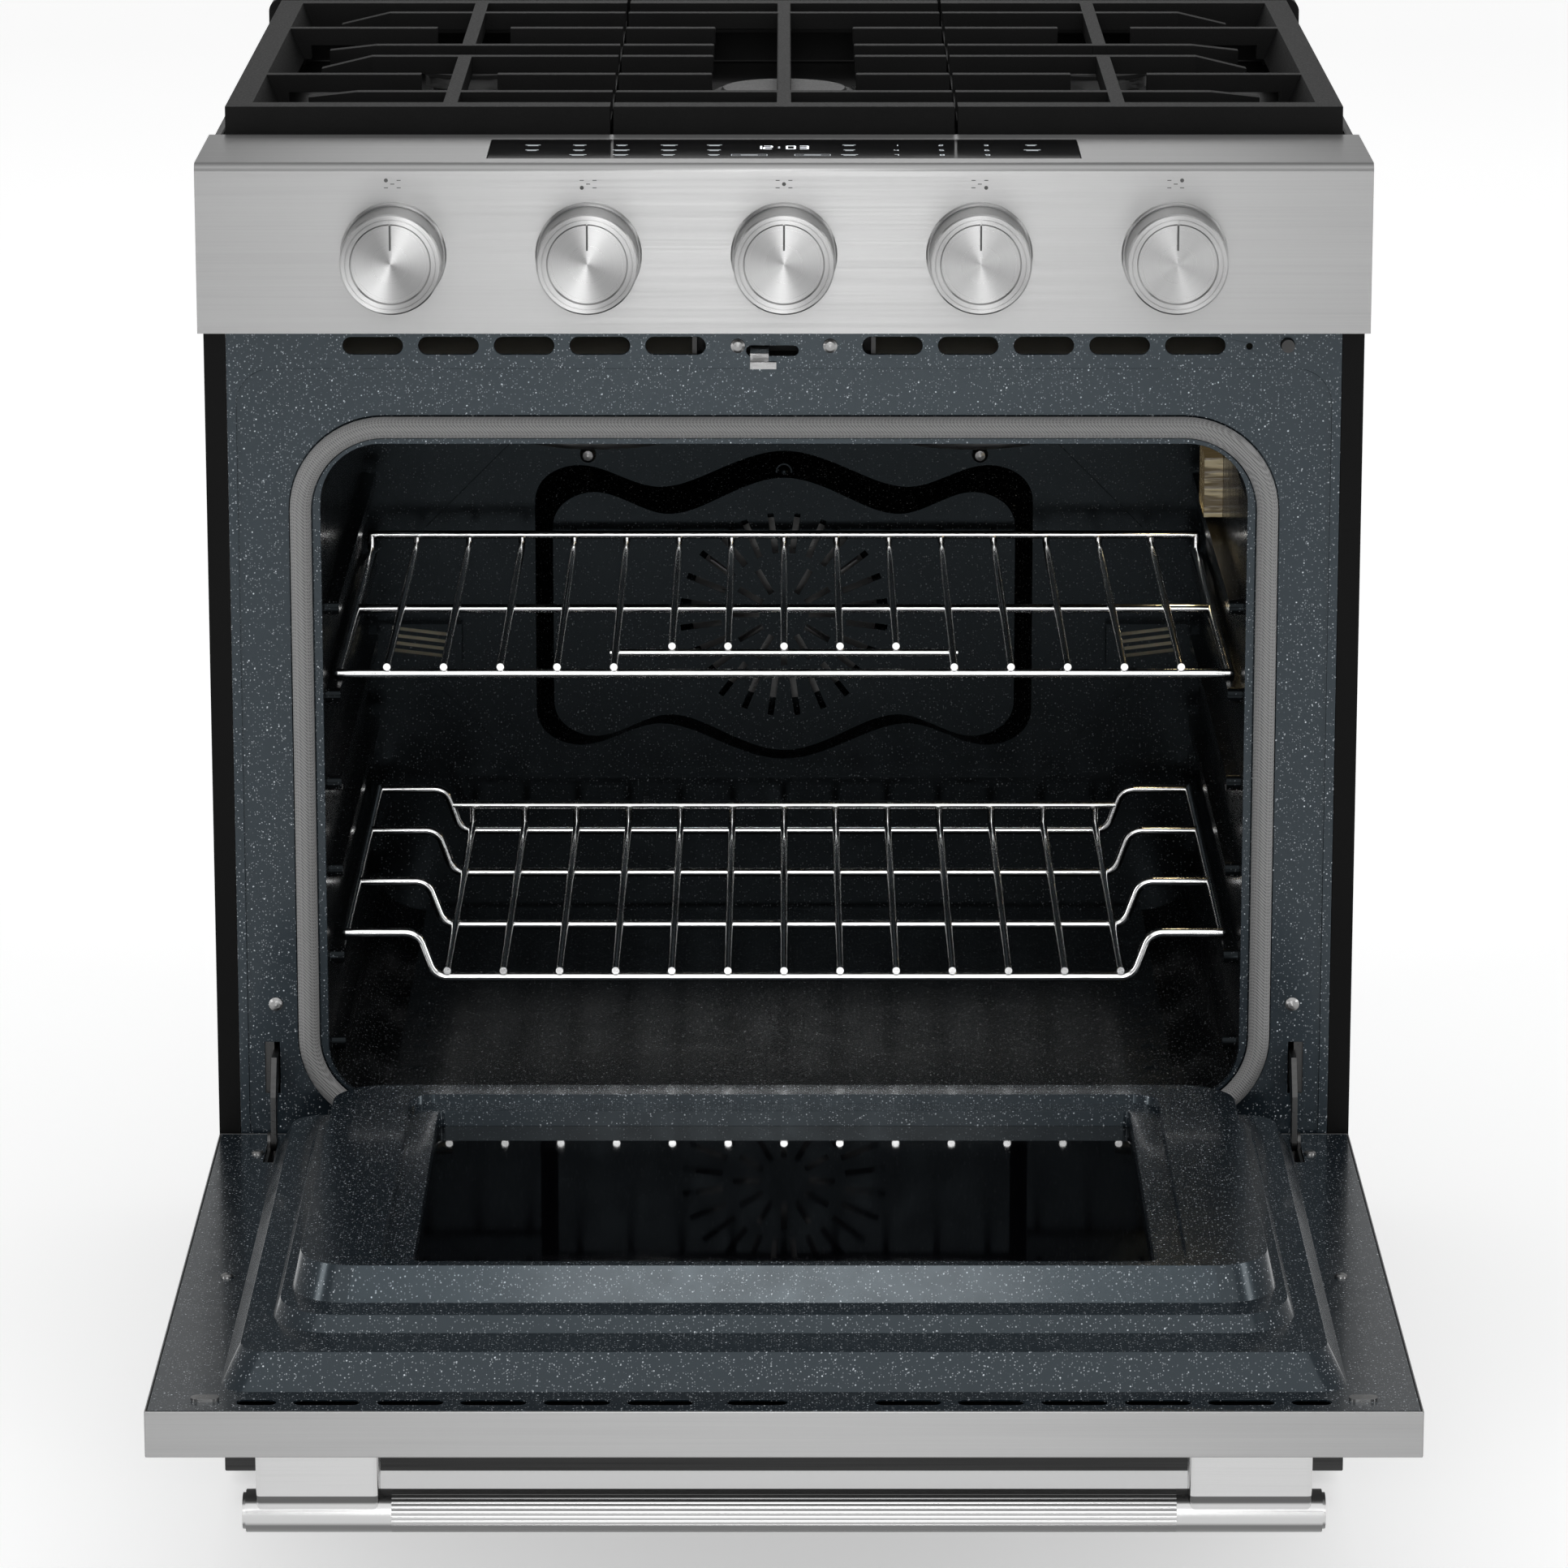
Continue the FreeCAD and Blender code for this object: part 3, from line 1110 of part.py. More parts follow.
def make_door_inner_panel():
    """Enamelled inner panel: flange, two steps, the plug that enters the oven and the window's ledge."""
    flange = box("panel_flange", both(f"{HALF} - skin - 0.3"),
                 ("skin + 0.3 - door_reach", "door_heel - skin - 0.3"),
                 ("door_face - stamped", "door_face"))
    raised = fuse("panel_raised", [flange] + door_steps("panel_step", 0))
    shell = cut("panel_shell", raised, door_steps("panel_under", size_of("stamped")))
    top = "door_face + 52"
    tray = box("ledge_block", both("window_half + 20.2"), ("-window_far - 20.2", "20.2 - window_near"),
               (f"{top} - 7.2", top))
    lip = box("lip_block", both("window_half + 1.2"), ("-window_far - 1.2", "1.2 - window_near"),
              (f"{top} - 16", f"{top} - 6"))
    tools = [
        rounded("ledge_inside", "window_half + 19", ("-window_far - 19", "19 - window_near"), "16",
                (f"{top} - 6", f"{top} + 1"), "z"),
        rounded("window_through", "window_half", ("-window_far", "-window_near"), "5",
                (f"{top} - 20", f"{top} + 1"), "z"),
    ]
    through = ("door_face - 3", "door_face + 1")
    for side, word in SIDES:
        for step in range(5):
            centre = (f"{side} * (73.7 + {step} * 49.6)", "-507")
            tools.append(slot(f"door_vent_{word}_{step}", "z", centre, "39.8", "10.5", through))
        tools.append(slot(f"door_vent_end_{word}", "z", (f"{side} * 314", "-507"), "24", "10.5", through))
        tools.append(box(f"arm_slot_{word}", sided(side, "arm_in - 0.4", "ear_out + 0.4"), ("-22", "32"),
                         through))
    tools.append(slot("catch_slot", "z", ("-16", "-507"), "36.3", "10.5", through))
    node("door_inner_panel", cut("door_inner_panel", fuse("panel_whole", [shell, tray, lip]), tools))


def make_door_glass():
    """Two window panes, one behind the inner panel's lip and one behind the outer skin."""
    span = both("window_half + 13")
    depth = ("-window_far - 13", "13 - window_near")
    top = "door_face + 36"
    node("door_inner_glass", box("door_inner_glass", span, depth, (f"{top} - 4.5", f"{top}")))
    low = "door_low + skin"
    node("door_outer_glass", box("door_outer_glass", span, depth, (low, f"{low} + 4.5")))


def make_door_screws():
    """Pan-head screws and oval plugs along both sides of the inner panel."""
    head = [("0", "0"), ("4.2", "0"), ("4", "1.2"), ("2.6", "2.2"), ("0", "2.5")]
    screws = []
    for side, word in SIDES:
        for index, depth in enumerate(("-3", "-267")):
            screws.append(turned(f"door_screw_{word}_{index}", "z", (f"{side} * 350", depth, "door_face"),
                                 head))
        plug = slot(f"plug_{word}", "z", (f"{side} * 345", "-503"), "17", "9", ("door_face", "door_face + 2"))
        screws.append(plug)
    node("door_screws", group("door_screws", screws))


def make_handle():
    """Door handle: a fluted tube between two end sleeves, each carried by a wide post."""
    depth = "-handle_y"
    tube = rod("bar_outside", "x", ("-sleeve_half", depth, "handle_z"), "2 * sleeve_half", "handle_r")
    inside = rod("bar_inside", "x", ("-sleeve_half - 1", depth, "handle_z"), "2 * sleeve_half + 2",
                 "handle_r - 2")
    node("door_handle_bar", cut("door_handle_bar", tube, [inside]))
    posts = []
    for side, word in SIDES:
        span = sided(side, "sleeve_half", "handle_half - 2")
        end = sided(side, "handle_half - 6", "handle_half")
        band = ("-handle_y - 12", "12 - handle_y")
        slim = ("-handle_y - 9", "9 - handle_y")
        pieces = [
            rod(f"sleeve_{word}", "x", (span[0], depth, "handle_z"), "handle_half - 2 - sleeve_half",
                "handle_r"),
            rod(f"sleeve_end_{word}", "x", (end[0], depth, "handle_z"), "6", "handle_r - 2"),
            box(f"post_wide_{word}", sided(side, "245.5", "313"), band, ("handle_z", "door_low")),
            box(f"post_long_{word}", sided(side, "242.5", "316"), slim, ("handle_z", "door_low")),
        ]
        for x in ("245.5", "313"):
            for y in ("-handle_y - 9", "9 - handle_y"):
                name = f"post_corner_{word}_{len(pieces)}"
                pieces.append(rod(name, "z", (f"{side} * {x}", y, "handle_z"), "door_low - handle_z", "3"))
        posts.append(fuse(f"post_{word}", pieces))
    node("door_handle_posts", group("door_handle_posts", posts))


def make_latch():
    """Door latch: a motor bracket behind the frame and the hook that slides in its slot."""
    bracket = box("bracket_plate", ("-60", "60"), ("frame_y + 4", "frame_y + 44"), ("774", "800"))
    inside = box("bracket_inside", ("-57", "57"), ("frame_y + 3", "frame_y + 41"), ("777", "797"))
    node("latch_bracket", cut("latch_bracket", bracket, [inside]))
    hook = fuse("door_latch", [
        box("hook_shank", ("-22", "-10"), ("24", "78"), ("782", "786.5")),
        box("hook_bend", ("-22", "-10"), ("24", "30"), ("779", "786.5")),
        box("hook_reach", ("-22", "-10"), ("9", "30"), ("779", "783.5")),
        box("hook_barb", ("-22", "-5"), ("9", "13.5"), ("779", "783.5")),
    ])
    node("door_latch", hook)


def make_light_switch():
    """Plunger of the oven light switch, beside the latch."""
    plunger = fuse("light_switch_plunger", [
        rod("plunger_tip", "y", ("329.3", "frame_y - 6", "788.3"), "22", "4.3"),
        rod("plunger_collar", "y", ("329.3", "frame_y + 9", "788.3"), "3", "7"),
    ])
    node("light_switch_plunger", plunger)


# ---------------------------------------------------------------- drawer
def make_drawer():
    """Storage drawer: stainless front, sheet tray with runners, and the rails on the base."""
    front = box("front_block", both("drawer_half"), ("0", "20"), ("drawer_low", "drawer_high"))
    hollow = box("front_hollow", both("drawer_half - skin"), ("skin", "21"),
                 ("drawer_low + skin", "drawer_high - skin"))
    node("drawer_front", cut("drawer_front", front, [hollow]))
    tray = box("bin_block", both("bin_half"), ("19.5", "bin_back"), ("bin_low", "bin_high"))
    backing = box("bin_backing", both("drawer_half - 1.8"), ("18.3", "19.8"),
                  ("drawer_low + 1.8", "drawer_high - 1.8"))
    runners = [
        box(f"runner_{word}", sided(side, "bin_half - 0.5", "bin_half + 3"), ("30", "540"), ("100", "120"))
        for side, word in SIDES
    ]
    inside = box("bin_inside", both("bin_half - skin"), ("19.8", "bin_back - skin"),
                 ("bin_low + skin", "bin_high + 1"))
    node("drawer_box", cut("drawer_box", fuse("bin_solid", [tray, backing] + runners), [inside]))
    rails = []
    for side, word in SIDES:
        section = box(f"rail_block_{word}", sided(side, "bin_half + 4", "356.3"), ("66", "580"),
                      ("94", "126"))
        groove = box(f"rail_groove_{word}", sided(side, "bin_half + 3", "354.8"), ("65", "581"),
                     ("95.5", "124.5"))
        rails.append(cut(f"rail_{word}", section, [groove]))
    node("drawer_rails", group("drawer_rails", rails))


# ---------------------------------------------------------------- build, check and write
def build():
    """Make every sub-part."""
    make_side_panel(-1, "side_panel_left")
    make_side_panel(1, "side_panel_right")
    make_rear_panel()
    make_base_frame()
    make_legs()
    make_front_frame()
    make_frame_screws()
    make_oven_liner()
    make_insulation()
    make_oven_floor()
    make_bake_burner()
    make_broil_burner()
    make_gasket()
    make_convection_cover()
    make_convection_motor()
    make_convection_fan()
    make_oven_lamp()
    make_upper_rack()
    make_lower_rack()
    make_cooktop_pan()
    make_burners()
    make_rear_trim()
    make_grates()
    make_control_panel()
    make_control_glass()
    make_control_board()
    make_bezels()
    for step in range(5):
        make_knob(step)
        make_valve_stem(step)
    make_valves()
    make_manifold()
    make_feed_tubes()
    make_regulator()
    make_hinge_arms()
    make_hinge_channels()
    make_door_outer_panel()
    make_door_inner_panel()
    make_door_glass()
    make_door_screws()
    make_handle()
    make_latch()
    make_light_switch()
    make_drawer()
    doc.recompute()


def check():
    """Stop if any object failed or any sub-part is empty or invalid."""
    for item in doc.Objects:
        if "Invalid" in item.State or "Error" in item.State:
            raise RuntimeError(f"{item.Label} failed: {item.State}")
    for name, item in parts.items():
        shape = item.Shape
        if shape.isNull() or not shape.isValid() or not shape.Solids:
            raise RuntimeError(f"{name} has no valid solid")


def write():
    """Write each sub-part to its own STEP file."""
    os.makedirs("parts", exist_ok=True)
    for name, item in parts.items():
        item.Shape.exportStep(f"parts/{name}.step")


build()
check()
write()
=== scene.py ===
"""Looks of the freestanding gas range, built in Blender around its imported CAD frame.

Metres, in the frame's own axes: +X is the range's right seen from the front, +Y its rear, +Z up.
"""
import json
import math

import bmesh
import bpy
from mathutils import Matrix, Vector


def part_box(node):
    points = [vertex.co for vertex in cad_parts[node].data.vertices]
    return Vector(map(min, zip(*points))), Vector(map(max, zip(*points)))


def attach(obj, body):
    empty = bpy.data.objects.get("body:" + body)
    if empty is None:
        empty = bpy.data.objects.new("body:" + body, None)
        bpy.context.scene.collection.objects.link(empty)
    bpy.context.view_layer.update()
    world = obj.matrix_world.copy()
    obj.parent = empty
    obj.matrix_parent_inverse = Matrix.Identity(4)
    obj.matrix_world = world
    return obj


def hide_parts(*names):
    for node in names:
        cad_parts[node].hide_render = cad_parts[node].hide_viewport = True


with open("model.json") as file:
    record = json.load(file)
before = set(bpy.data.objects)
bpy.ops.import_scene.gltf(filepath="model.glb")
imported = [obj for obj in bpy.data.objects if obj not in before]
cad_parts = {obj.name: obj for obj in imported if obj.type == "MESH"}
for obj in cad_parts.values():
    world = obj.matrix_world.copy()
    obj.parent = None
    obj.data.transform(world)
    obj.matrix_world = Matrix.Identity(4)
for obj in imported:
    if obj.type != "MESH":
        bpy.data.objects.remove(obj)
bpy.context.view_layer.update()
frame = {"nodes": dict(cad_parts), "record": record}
NODES = frame["nodes"]


def middle(name):
    """Return the middle of a node's box."""
    low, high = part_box(name)
    return (low + high) / 2


X_AXIS, Y_AXIS, Z_AXIS = Vector((1, 0, 0)), Vector((0, 1, 0)), Vector((0, 0, 1))
KNOBS = 5
KNOB_HEIGHT = middle("knob_3").z
KNOB_PITCH = middle("knob_4").x - middle("knob_3").x
BAR_LOW, BAR_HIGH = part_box("door_handle_bar")
BAR_RADIUS = (BAR_HIGH.z - BAR_LOW.z) / 2
GLASS_LOW, GLASS_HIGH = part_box("control_glass")
PANEL_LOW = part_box("control_panel")[0]
LAMP_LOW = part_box("oven_lamp")[0]


# ---------------------------------------------------------------- node materials
class Shade:
    """A node material around one Principled shader, on coordinates that move with the object."""

    def __init__(self, name, **uniform):
        self.material = bpy.data.materials.new(name)
        self.material.use_nodes = True
        self.tree = self.material.node_tree
        self.shader = self.tree.nodes["Principled BSDF"]
        self.place = self.add("ShaderNodeTexCoord").outputs["Object"]
        for key, value in uniform.items():
            self.shader.inputs[key.replace("_", " ")].default_value = value

    def add(self, kind, sockets=None, **settings):
        """Add a node; sockets maps an input's name or number to a value or to another node's output."""
        node = self.tree.nodes.new(kind)
        for key, value in settings.items():
            setattr(node, key, value)
        for key, value in (sockets or {}).items():
            if isinstance(value, bpy.types.NodeSocket):
                self.tree.links.new(value, node.inputs[key])
            else:
                node.inputs[key].default_value = value
        return node

    def stretch(self, scale, source=None):
        """Scale the coordinates per axis."""
        sockets = {"Vector": source or self.place, "Scale": scale}
        return self.add("ShaderNodeMapping", sockets).outputs["Vector"]

    def noise(self, scale, detail=2.0, rough=0.5, source=None):
        """Smooth noise, 0 to 1; scale is per metre, or a triple for a stretched grain."""
        if isinstance(scale, tuple):
            source, scale = self.stretch(scale, source), 1.0
        sockets = {"Vector": source or self.place, "Scale": scale, "Detail": detail, "Roughness": rough}
        return self.add("ShaderNodeTexNoise", sockets).outputs["Fac"]

    def math(self, operation, *values):
        """Combine up to three numbers."""
        return self.add("ShaderNodeMath", dict(enumerate(values)), operation=operation).outputs[0]

    def vector_math(self, operation, *values):
        """Combine up to two vectors."""
        return self.add("ShaderNodeVectorMath", dict(enumerate(values)), operation=operation).outputs[0]

    def scaled(self, value, low, high, new_low, new_high, smooth=False):
        """Map a range of numbers onto another, clamped."""
        sockets = {"Value": value, "From Min": low, "From Max": high, "To Min": new_low, "To Max": new_high}
        kind = "SMOOTHSTEP" if smooth else "LINEAR"
        return self.add("ShaderNodeMapRange", sockets, interpolation_type=kind).outputs["Result"]

    def mix(self, factor, first, second):
        """Mix two colours."""
        node = self.add("ShaderNodeMix", data_type="RGBA")
        for index, value in ((0, factor), (6, first), (7, second)):
            if isinstance(value, bpy.types.NodeSocket):
                self.tree.links.new(value, node.inputs[index])
            else:
                node.inputs[index].default_value = value
        return node.outputs[2]

    def axes(self, source=None):
        """Split coordinates into X, Y and Z."""
        return self.add("ShaderNodeSeparateXYZ", {"Vector": source or self.place}).outputs

    def vector(self, x, y, z):
        """Join three numbers into a vector."""
        return self.add("ShaderNodeCombineXYZ", {0: x, 1: y, 2: z}).outputs[0]

    def put(self, **links):
        """Feed the shader's inputs from other nodes."""
        for key, value in links.items():
            self.tree.links.new(value, self.shader.inputs[key.replace("_", " ")])

    def bump(self, height, distance, strength=1.0):
        """Raise the surface by a height between 0 and 1 times distance in metres."""
        sockets = {"Height": height, "Distance": distance, "Strength": strength}
        self.put(Normal=self.add("ShaderNodeBump", sockets).outputs["Normal"])


def grey(level, tint=0.0):
    """Return a grey, a little blue if tint is above 0 or warm if below."""
    return (level * (1 - tint), level, level * (1 + tint), 1.0)


GRAIN = (5.0, 900.0, 900.0)
BROAD_GRAIN = (2.0, 162.0, 162.0)


def brushed(name, level, rough, contrast):
    """Sheet steel with a fine straight grain along X; its tangent stands across the grain."""
    shade = Shade(name, Metallic=1.0, Anisotropic=0.75)
    fine = shade.noise(GRAIN, 3.0, 0.6)
    broad = shade.noise(BROAD_GRAIN, 2.0)
    cloud = shade.noise(2.2, 2.0)
    grain = shade.math("ADD", shade.math("MULTIPLY", fine, 0.6), shade.math("MULTIPLY", broad, 0.4))
    lit = shade.math("ADD", grain, shade.math("MULTIPLY", shade.math("SUBTRACT", cloud, 0.5), 0.25))
    low, high = grey(level * (1 - contrast)), grey(level * (1 + contrast))
    shade.put(Base_Color=shade.mix(shade.scaled(lit, 0.3, 0.7, 0, 1), low, high))
    shade.put(Roughness=shade.scaled(grain, 0.3, 0.7, rough - 0.05, rough + 0.06))
    facing = shade.add("ShaderNodeNewGeometry").outputs["Normal"]
    upright = shade.vector_math("CROSS_PRODUCT", facing, (1.0, 0.0, 0.0))
    steady = shade.vector_math("ADD", upright, (0.0, 0.01, 0.0))
    shade.put(Tangent=shade.vector_math("NORMALIZE", steady))
    shade.bump(fine, 0.00002, 0.5)
    return shade.material


def barred(name, level, rough, centre, radius):
    """Polished bar metal along X with a painted reflection: bright along its front, painted shade along its
    upper and lower sides.
    """
    shade = Shade(name, Metallic=1.0)
    # Painted reflection: the colour is bright across the bar's front and dark towards its top and bottom;
    # above the bar's own radius the upper shade is lifted again.
    rise = shade.math("DIVIDE", shade.math("SUBTRACT", shade.axes()[2], centre), radius)
    painted_shade_below = shade.scaled(rise, -0.46, -0.22, 0.32, 1.0, smooth=True)
    painted_shade_above = shade.scaled(rise, 0.58, 0.74, 1.0, 0.2, smooth=True)
    post = shade.scaled(rise, 1.0, 1.02, 0.0, 1.0)
    painted_reflection_band = shade.math("MULTIPLY", painted_shade_below, shade.math("MAXIMUM", painted_shade_above, post))
    fine = shade.noise(GRAIN, 3.0, 0.6)
    tone = shade.math("MULTIPLY", painted_reflection_band, shade.scaled(fine, 0.3, 0.7, 0.94, 1.06))
    shade.put(Base_Color=shade.mix(tone, grey(0.0), grey(level)))
    shade.put(Roughness=shade.scaled(fine, 0.3, 0.7, rough - 0.04, rough + 0.05))
    return shade.material


# Each layer of flecks: cells per metre, share of cells with a fleck, fleck radius in cells, brightness.
FLECK_LAYERS = ((260.0, 0.2, 0.17, 1.0), (400.0, 0.34, 0.24, 0.7), (700.0, 0.4, 0.34, 0.45))
FLECK_WARP = 0.0012
COOL_SHINE = (0.74, 0.9, 1.0, 1.0)


def speckled(name, base, fleck, cover, rough, tint, coat, shine):
    """Gloss enamel strewn with pale flecks of several sizes."""
    shade = Shade(name, Specular_IOR_Level=shine, Specular_Tint=COOL_SHINE, Coat_Weight=coat,
                  Coat_Roughness=0.08)
    warp = shade.math("MULTIPLY", shade.noise(260.0, 2.0), FLECK_WARP)
    shifted = shade.vector_math("ADD", shade.place, shade.vector(warp, warp, warp))
    amount = None
    for scale, share, radius, power in FLECK_LAYERS:
        cell = shade.add("ShaderNodeTexVoronoi", {"Vector": shifted, "Scale": scale})
        tone = shade.axes(cell.outputs["Color"])
        present = shade.math("LESS_THAN", tone[0], share * cover)
        dot = shade.scaled(cell.outputs["Distance"], radius * 0.45, radius, 1, 0)
        glint = shade.scaled(tone[1], 0, 1, 0.35 * power, power)
        layer = shade.math("MULTIPLY", shade.math("MULTIPLY", present, dot), glint)
        amount = layer if amount is None else shade.math("MAXIMUM", amount, layer)
    drift = shade.scaled(shade.noise(9.0, 3.0), 0.3, 0.7, 0.82, 1.2)
    ground = shade.mix(drift, grey(base * 0.75, tint), grey(base * 1.15, tint))
    shade.put(Base_Color=shade.mix(amount, ground, grey(fleck, 0.06)))
    shade.put(Roughness=shade.scaled(shade.noise(40.0, 3.0), 0.3, 0.7, rough - 0.04, rough + 0.05))
    shade.bump(shade.noise(240.0, 2.0), 0.00004, 0.3)
    return shade.material


def painted(name, level, rough, shine, peel=220.0):
    """Black paint or enamel with orange peel and faint dust."""
    shade = Shade(name, Specular_IOR_Level=shine)
    cloud = shade.noise(7.0, 4.0)
    dust = shade.scaled(shade.noise(900.0, 2.0), 0.6, 0.75, 0, 0.5)
    ground = shade.mix(cloud, grey(level * 0.75), grey(level * 1.3))
    shade.put(Base_Color=shade.mix(dust, ground, grey(level * 1.8 + 0.002)))
    shade.put(Roughness=shade.scaled(cloud, 0.3, 0.7, rough - 0.06, rough + 0.06))
    shade.bump(shade.noise(peel, 2.0), 0.00012, 0.5)
    return shade.material


def cast(name, level, rough, shine):
    """Matte cast iron: a fine pitted skin, with painted light on its upward faces."""
    shade = Shade(name, Specular_IOR_Level=shine)
    pits = shade.noise(620.0, 4.0, 0.65)
    cloud = shade.noise(24.0, 3.0)
    normal = shade.axes(shade.add("ShaderNodeNewGeometry").outputs["Normal"])
    # Painted light: faces that point up are made paler, as if lit from above, broken up by the pits.
    upward = shade.scaled(normal[2], 0.6, 1.0, 0, 1)
    painted_top_light = shade.math("MULTIPLY", upward, shade.scaled(pits, 0.35, 0.65, 0.35, 1))
    dark = shade.mix(cloud, grey(level * 0.7), grey(level * 1.25))
    shade.put(Base_Color=shade.mix(painted_top_light, dark, grey(level * 2.1)))
    shade.put(Roughness=shade.scaled(pits, 0.3, 0.7, rough - 0.08, rough + 0.1))
    shade.bump(pits, 0.00022, 0.7)
    return shade.material


def plated(name, level, rough):
    """Bright plated or polished metal with faint drawing marks and stains."""
    shade = Shade(name, Metallic=1.0)
    marks = shade.noise((160.0, 160.0, 700.0), 3.0)
    cloud = shade.noise(30.0, 3.0)
    shade.put(Base_Color=shade.mix(cloud, grey(level * 0.86), grey(level * 1.06)))
    shade.put(Roughness=shade.scaled(marks, 0.3, 0.7, rough * 0.7, rough * 1.4))
    shade.bump(marks, 0.00003, 0.5)
    return shade.material


RINGS_PER_METRE = 2400.0


def spun(name, level, rough, pitch, height):
    """Turned metal: rings about the axis of each knob, a pitch apart along X, and paired wedges of painted
    highlight.
    """
    shade = Shade(name, Metallic=1.0, Anisotropic=0.88)
    x, _, z = shade.axes()
    across = shade.math("WRAP", x, pitch / 2, -pitch / 2)
    rise = shade.math("SUBTRACT", z, height)
    radius = shade.math("SQRT", shade.math("ADD", shade.math("MULTIPLY", across, across),
                                           shade.math("MULTIPLY", rise, rise)))
    outward = shade.vector(shade.math("MULTIPLY", radius, RINGS_PER_METRE), 0.0, 0.0)
    rings = shade.noise((1.0, 1.0, 1.0), 3.0, 0.65, outward)
    # Painted highlight: two opposite quarters of each knob's face are made paler and the other two darker,
    # like conic reflections.
    slant = shade.math("DIVIDE", shade.math("MULTIPLY", across, rise), shade.math("MULTIPLY", radius, radius))
    painted_highlight_wedges = shade.scaled(slant, -0.42, 0.42, 0.0, 0.7)
    tone = shade.math("ADD", painted_highlight_wedges, shade.scaled(rings, 0.3, 0.7, 0.0, 0.3))
    shade.put(Base_Color=shade.mix(tone, grey(level * 0.66), grey(level * 1.22)))
    shade.put(Roughness=shade.scaled(rings, 0.3, 0.7, rough - 0.05, rough + 0.06))
    along = shade.vector(across, 0.0, rise)
    turned = shade.add("ShaderNodeVectorTransform", {"Vector": along}, vector_type="VECTOR",
                       convert_from="OBJECT", convert_to="WORLD").outputs[0]
    shade.put(Tangent=shade.vector_math("NORMALIZE", turned))
    shade.bump(rings, 0.00002, 0.4)
    return shade.material


def zinc(name, level, rough):
    """Galvanised sheet with pale spangle."""
    shade = Shade(name, Metallic=0.9)
    cell = shade.add("ShaderNodeTexVoronoi", {"Vector": shade.place, "Scale": 90.0})
    tone = shade.axes(cell.outputs["Color"])[0]
    fine = shade.noise(500.0, 3.0)
    shade.put(Base_Color=shade.mix(tone, grey(level * 0.8, 0.01), grey(level * 1.12, 0.01)))
    shade.put(Roughness=shade.scaled(shade.math("ADD", tone, fine), 0.5, 1.5, rough - 0.07, rough + 0.1))
    shade.bump(fine, 0.00005, 0.4)
    return shade.material


STRANDS = 2800.0


def braided(name, low, high):
    """Woven glass-fibre sleeve: two crossing sets of strands."""
    shade = Shade(name, Specular_IOR_Level=0.3, Sheen_Weight=0.2)
    x, y, z = shade.axes()
    along = shade.math("ADD", x, z)
    strands = []
    for sign in (1.0, -1.0):
        phase = shade.math("ADD", along, shade.math("MULTIPLY", y, sign))
        strands.append(shade.math("SINE", shade.math("MULTIPLY", phase, STRANDS)))
    weave = shade.math("MAXIMUM", strands[0], strands[1])
    fuzz = shade.noise(1500.0, 3.0)
    tone = shade.math("ADD", shade.scaled(weave, -1, 1, 0, 0.7), shade.math("MULTIPLY", fuzz, 0.3))
    shade.put(Base_Color=shade.mix(tone, grey(low), grey(high)))
    shade.put(Roughness=shade.scaled(fuzz, 0.3, 0.7, 0.55, 0.8))
    shade.bump(weave, 0.0004, 0.6)
    return shade.material


def moulded(name, level, rough):
    """Moulded plastic or ceramic with a fine grain."""
    shade = Shade(name, Specular_IOR_Level=0.5)
    grain = shade.noise(1200.0, 3.0)
    cloud = shade.noise(20.0, 2.0)
    shade.put(Base_Color=shade.mix(cloud, grey(level * 0.85), grey(level * 1.12)))
    shade.put(Roughness=shade.scaled(grain, 0.3, 0.7, rough - 0.06, rough + 0.08))
    shade.bump(grain, 0.00005, 0.6)
    return shade.material


def fibrous(name, low, high):
    """Loose mineral wool."""
    shade = Shade(name, Specular_IOR_Level=0.1, Sheen_Weight=0.3)
    fibre = shade.noise((90.0, 500.0, 300.0), 5.0, 0.7)
    shade.put(Base_Color=shade.mix(fibre, low, high))
    shade.put(Roughness=shade.scaled(fibre, 0.3, 0.7, 0.8, 0.98))
    shade.bump(fibre, 0.001, 0.8)
    return shade.material


def dark_glass(name, colour, rough, shine):
    """Near-black gloss glass with faint wipe marks."""
    shade = Shade(name, IOR=1.52, Specular_IOR_Level=shine)
    smear = shade.noise((14.0, 30.0, 30.0), 4.0, 0.6)
    low = tuple(channel * 0.7 for channel in colour[:3]) + (1.0,)
    shade.put(Base_Color=shade.mix(smear, low, colour))
    shade.put(Roughness=shade.scaled(smear, 0.35, 0.7, rough, rough + 0.03))
    return shade.material


def glowing_glass(name, colour, strength):
    """Pressed lamp glass lit from inside, with highlights painted along its ribs."""
    shade = Shade(name, IOR=1.5, Emission_Strength=strength, Emission_Color=colour)
    rib = shade.noise((30.0, 260.0, 260.0), 2.0)
    # Painted highlight: the base colour is pale along the ribs and near black between them.
    lit = shade.scaled(rib, 0.5, 0.62, 0, 1)
    shade.put(Base_Color=shade.mix(lit, (0.02, 0.02, 0.015, 1.0), (0.5, 0.44, 0.28, 1.0)))
    shade.put(Roughness=shade.scaled(rib, 0.3, 0.7, 0.1, 0.3))
    shade.bump(rib, 0.0006, 0.8)
    return shade.material


def printed(name, colour, glow):
    """Printed or lit legend with a slightly uneven ink."""
    shade = Shade(name, Emission_Strength=glow, Emission_Color=colour)
    ink = shade.noise(1800.0, 2.0)
    low = tuple(channel * 0.8 for channel in colour[:3]) + (1.0,)
    shade.put(Base_Color=shade.mix(ink, low, colour))
    shade.put(Roughness=shade.scaled(ink, 0.3, 0.7, 0.35, 0.6))
    return shade.material


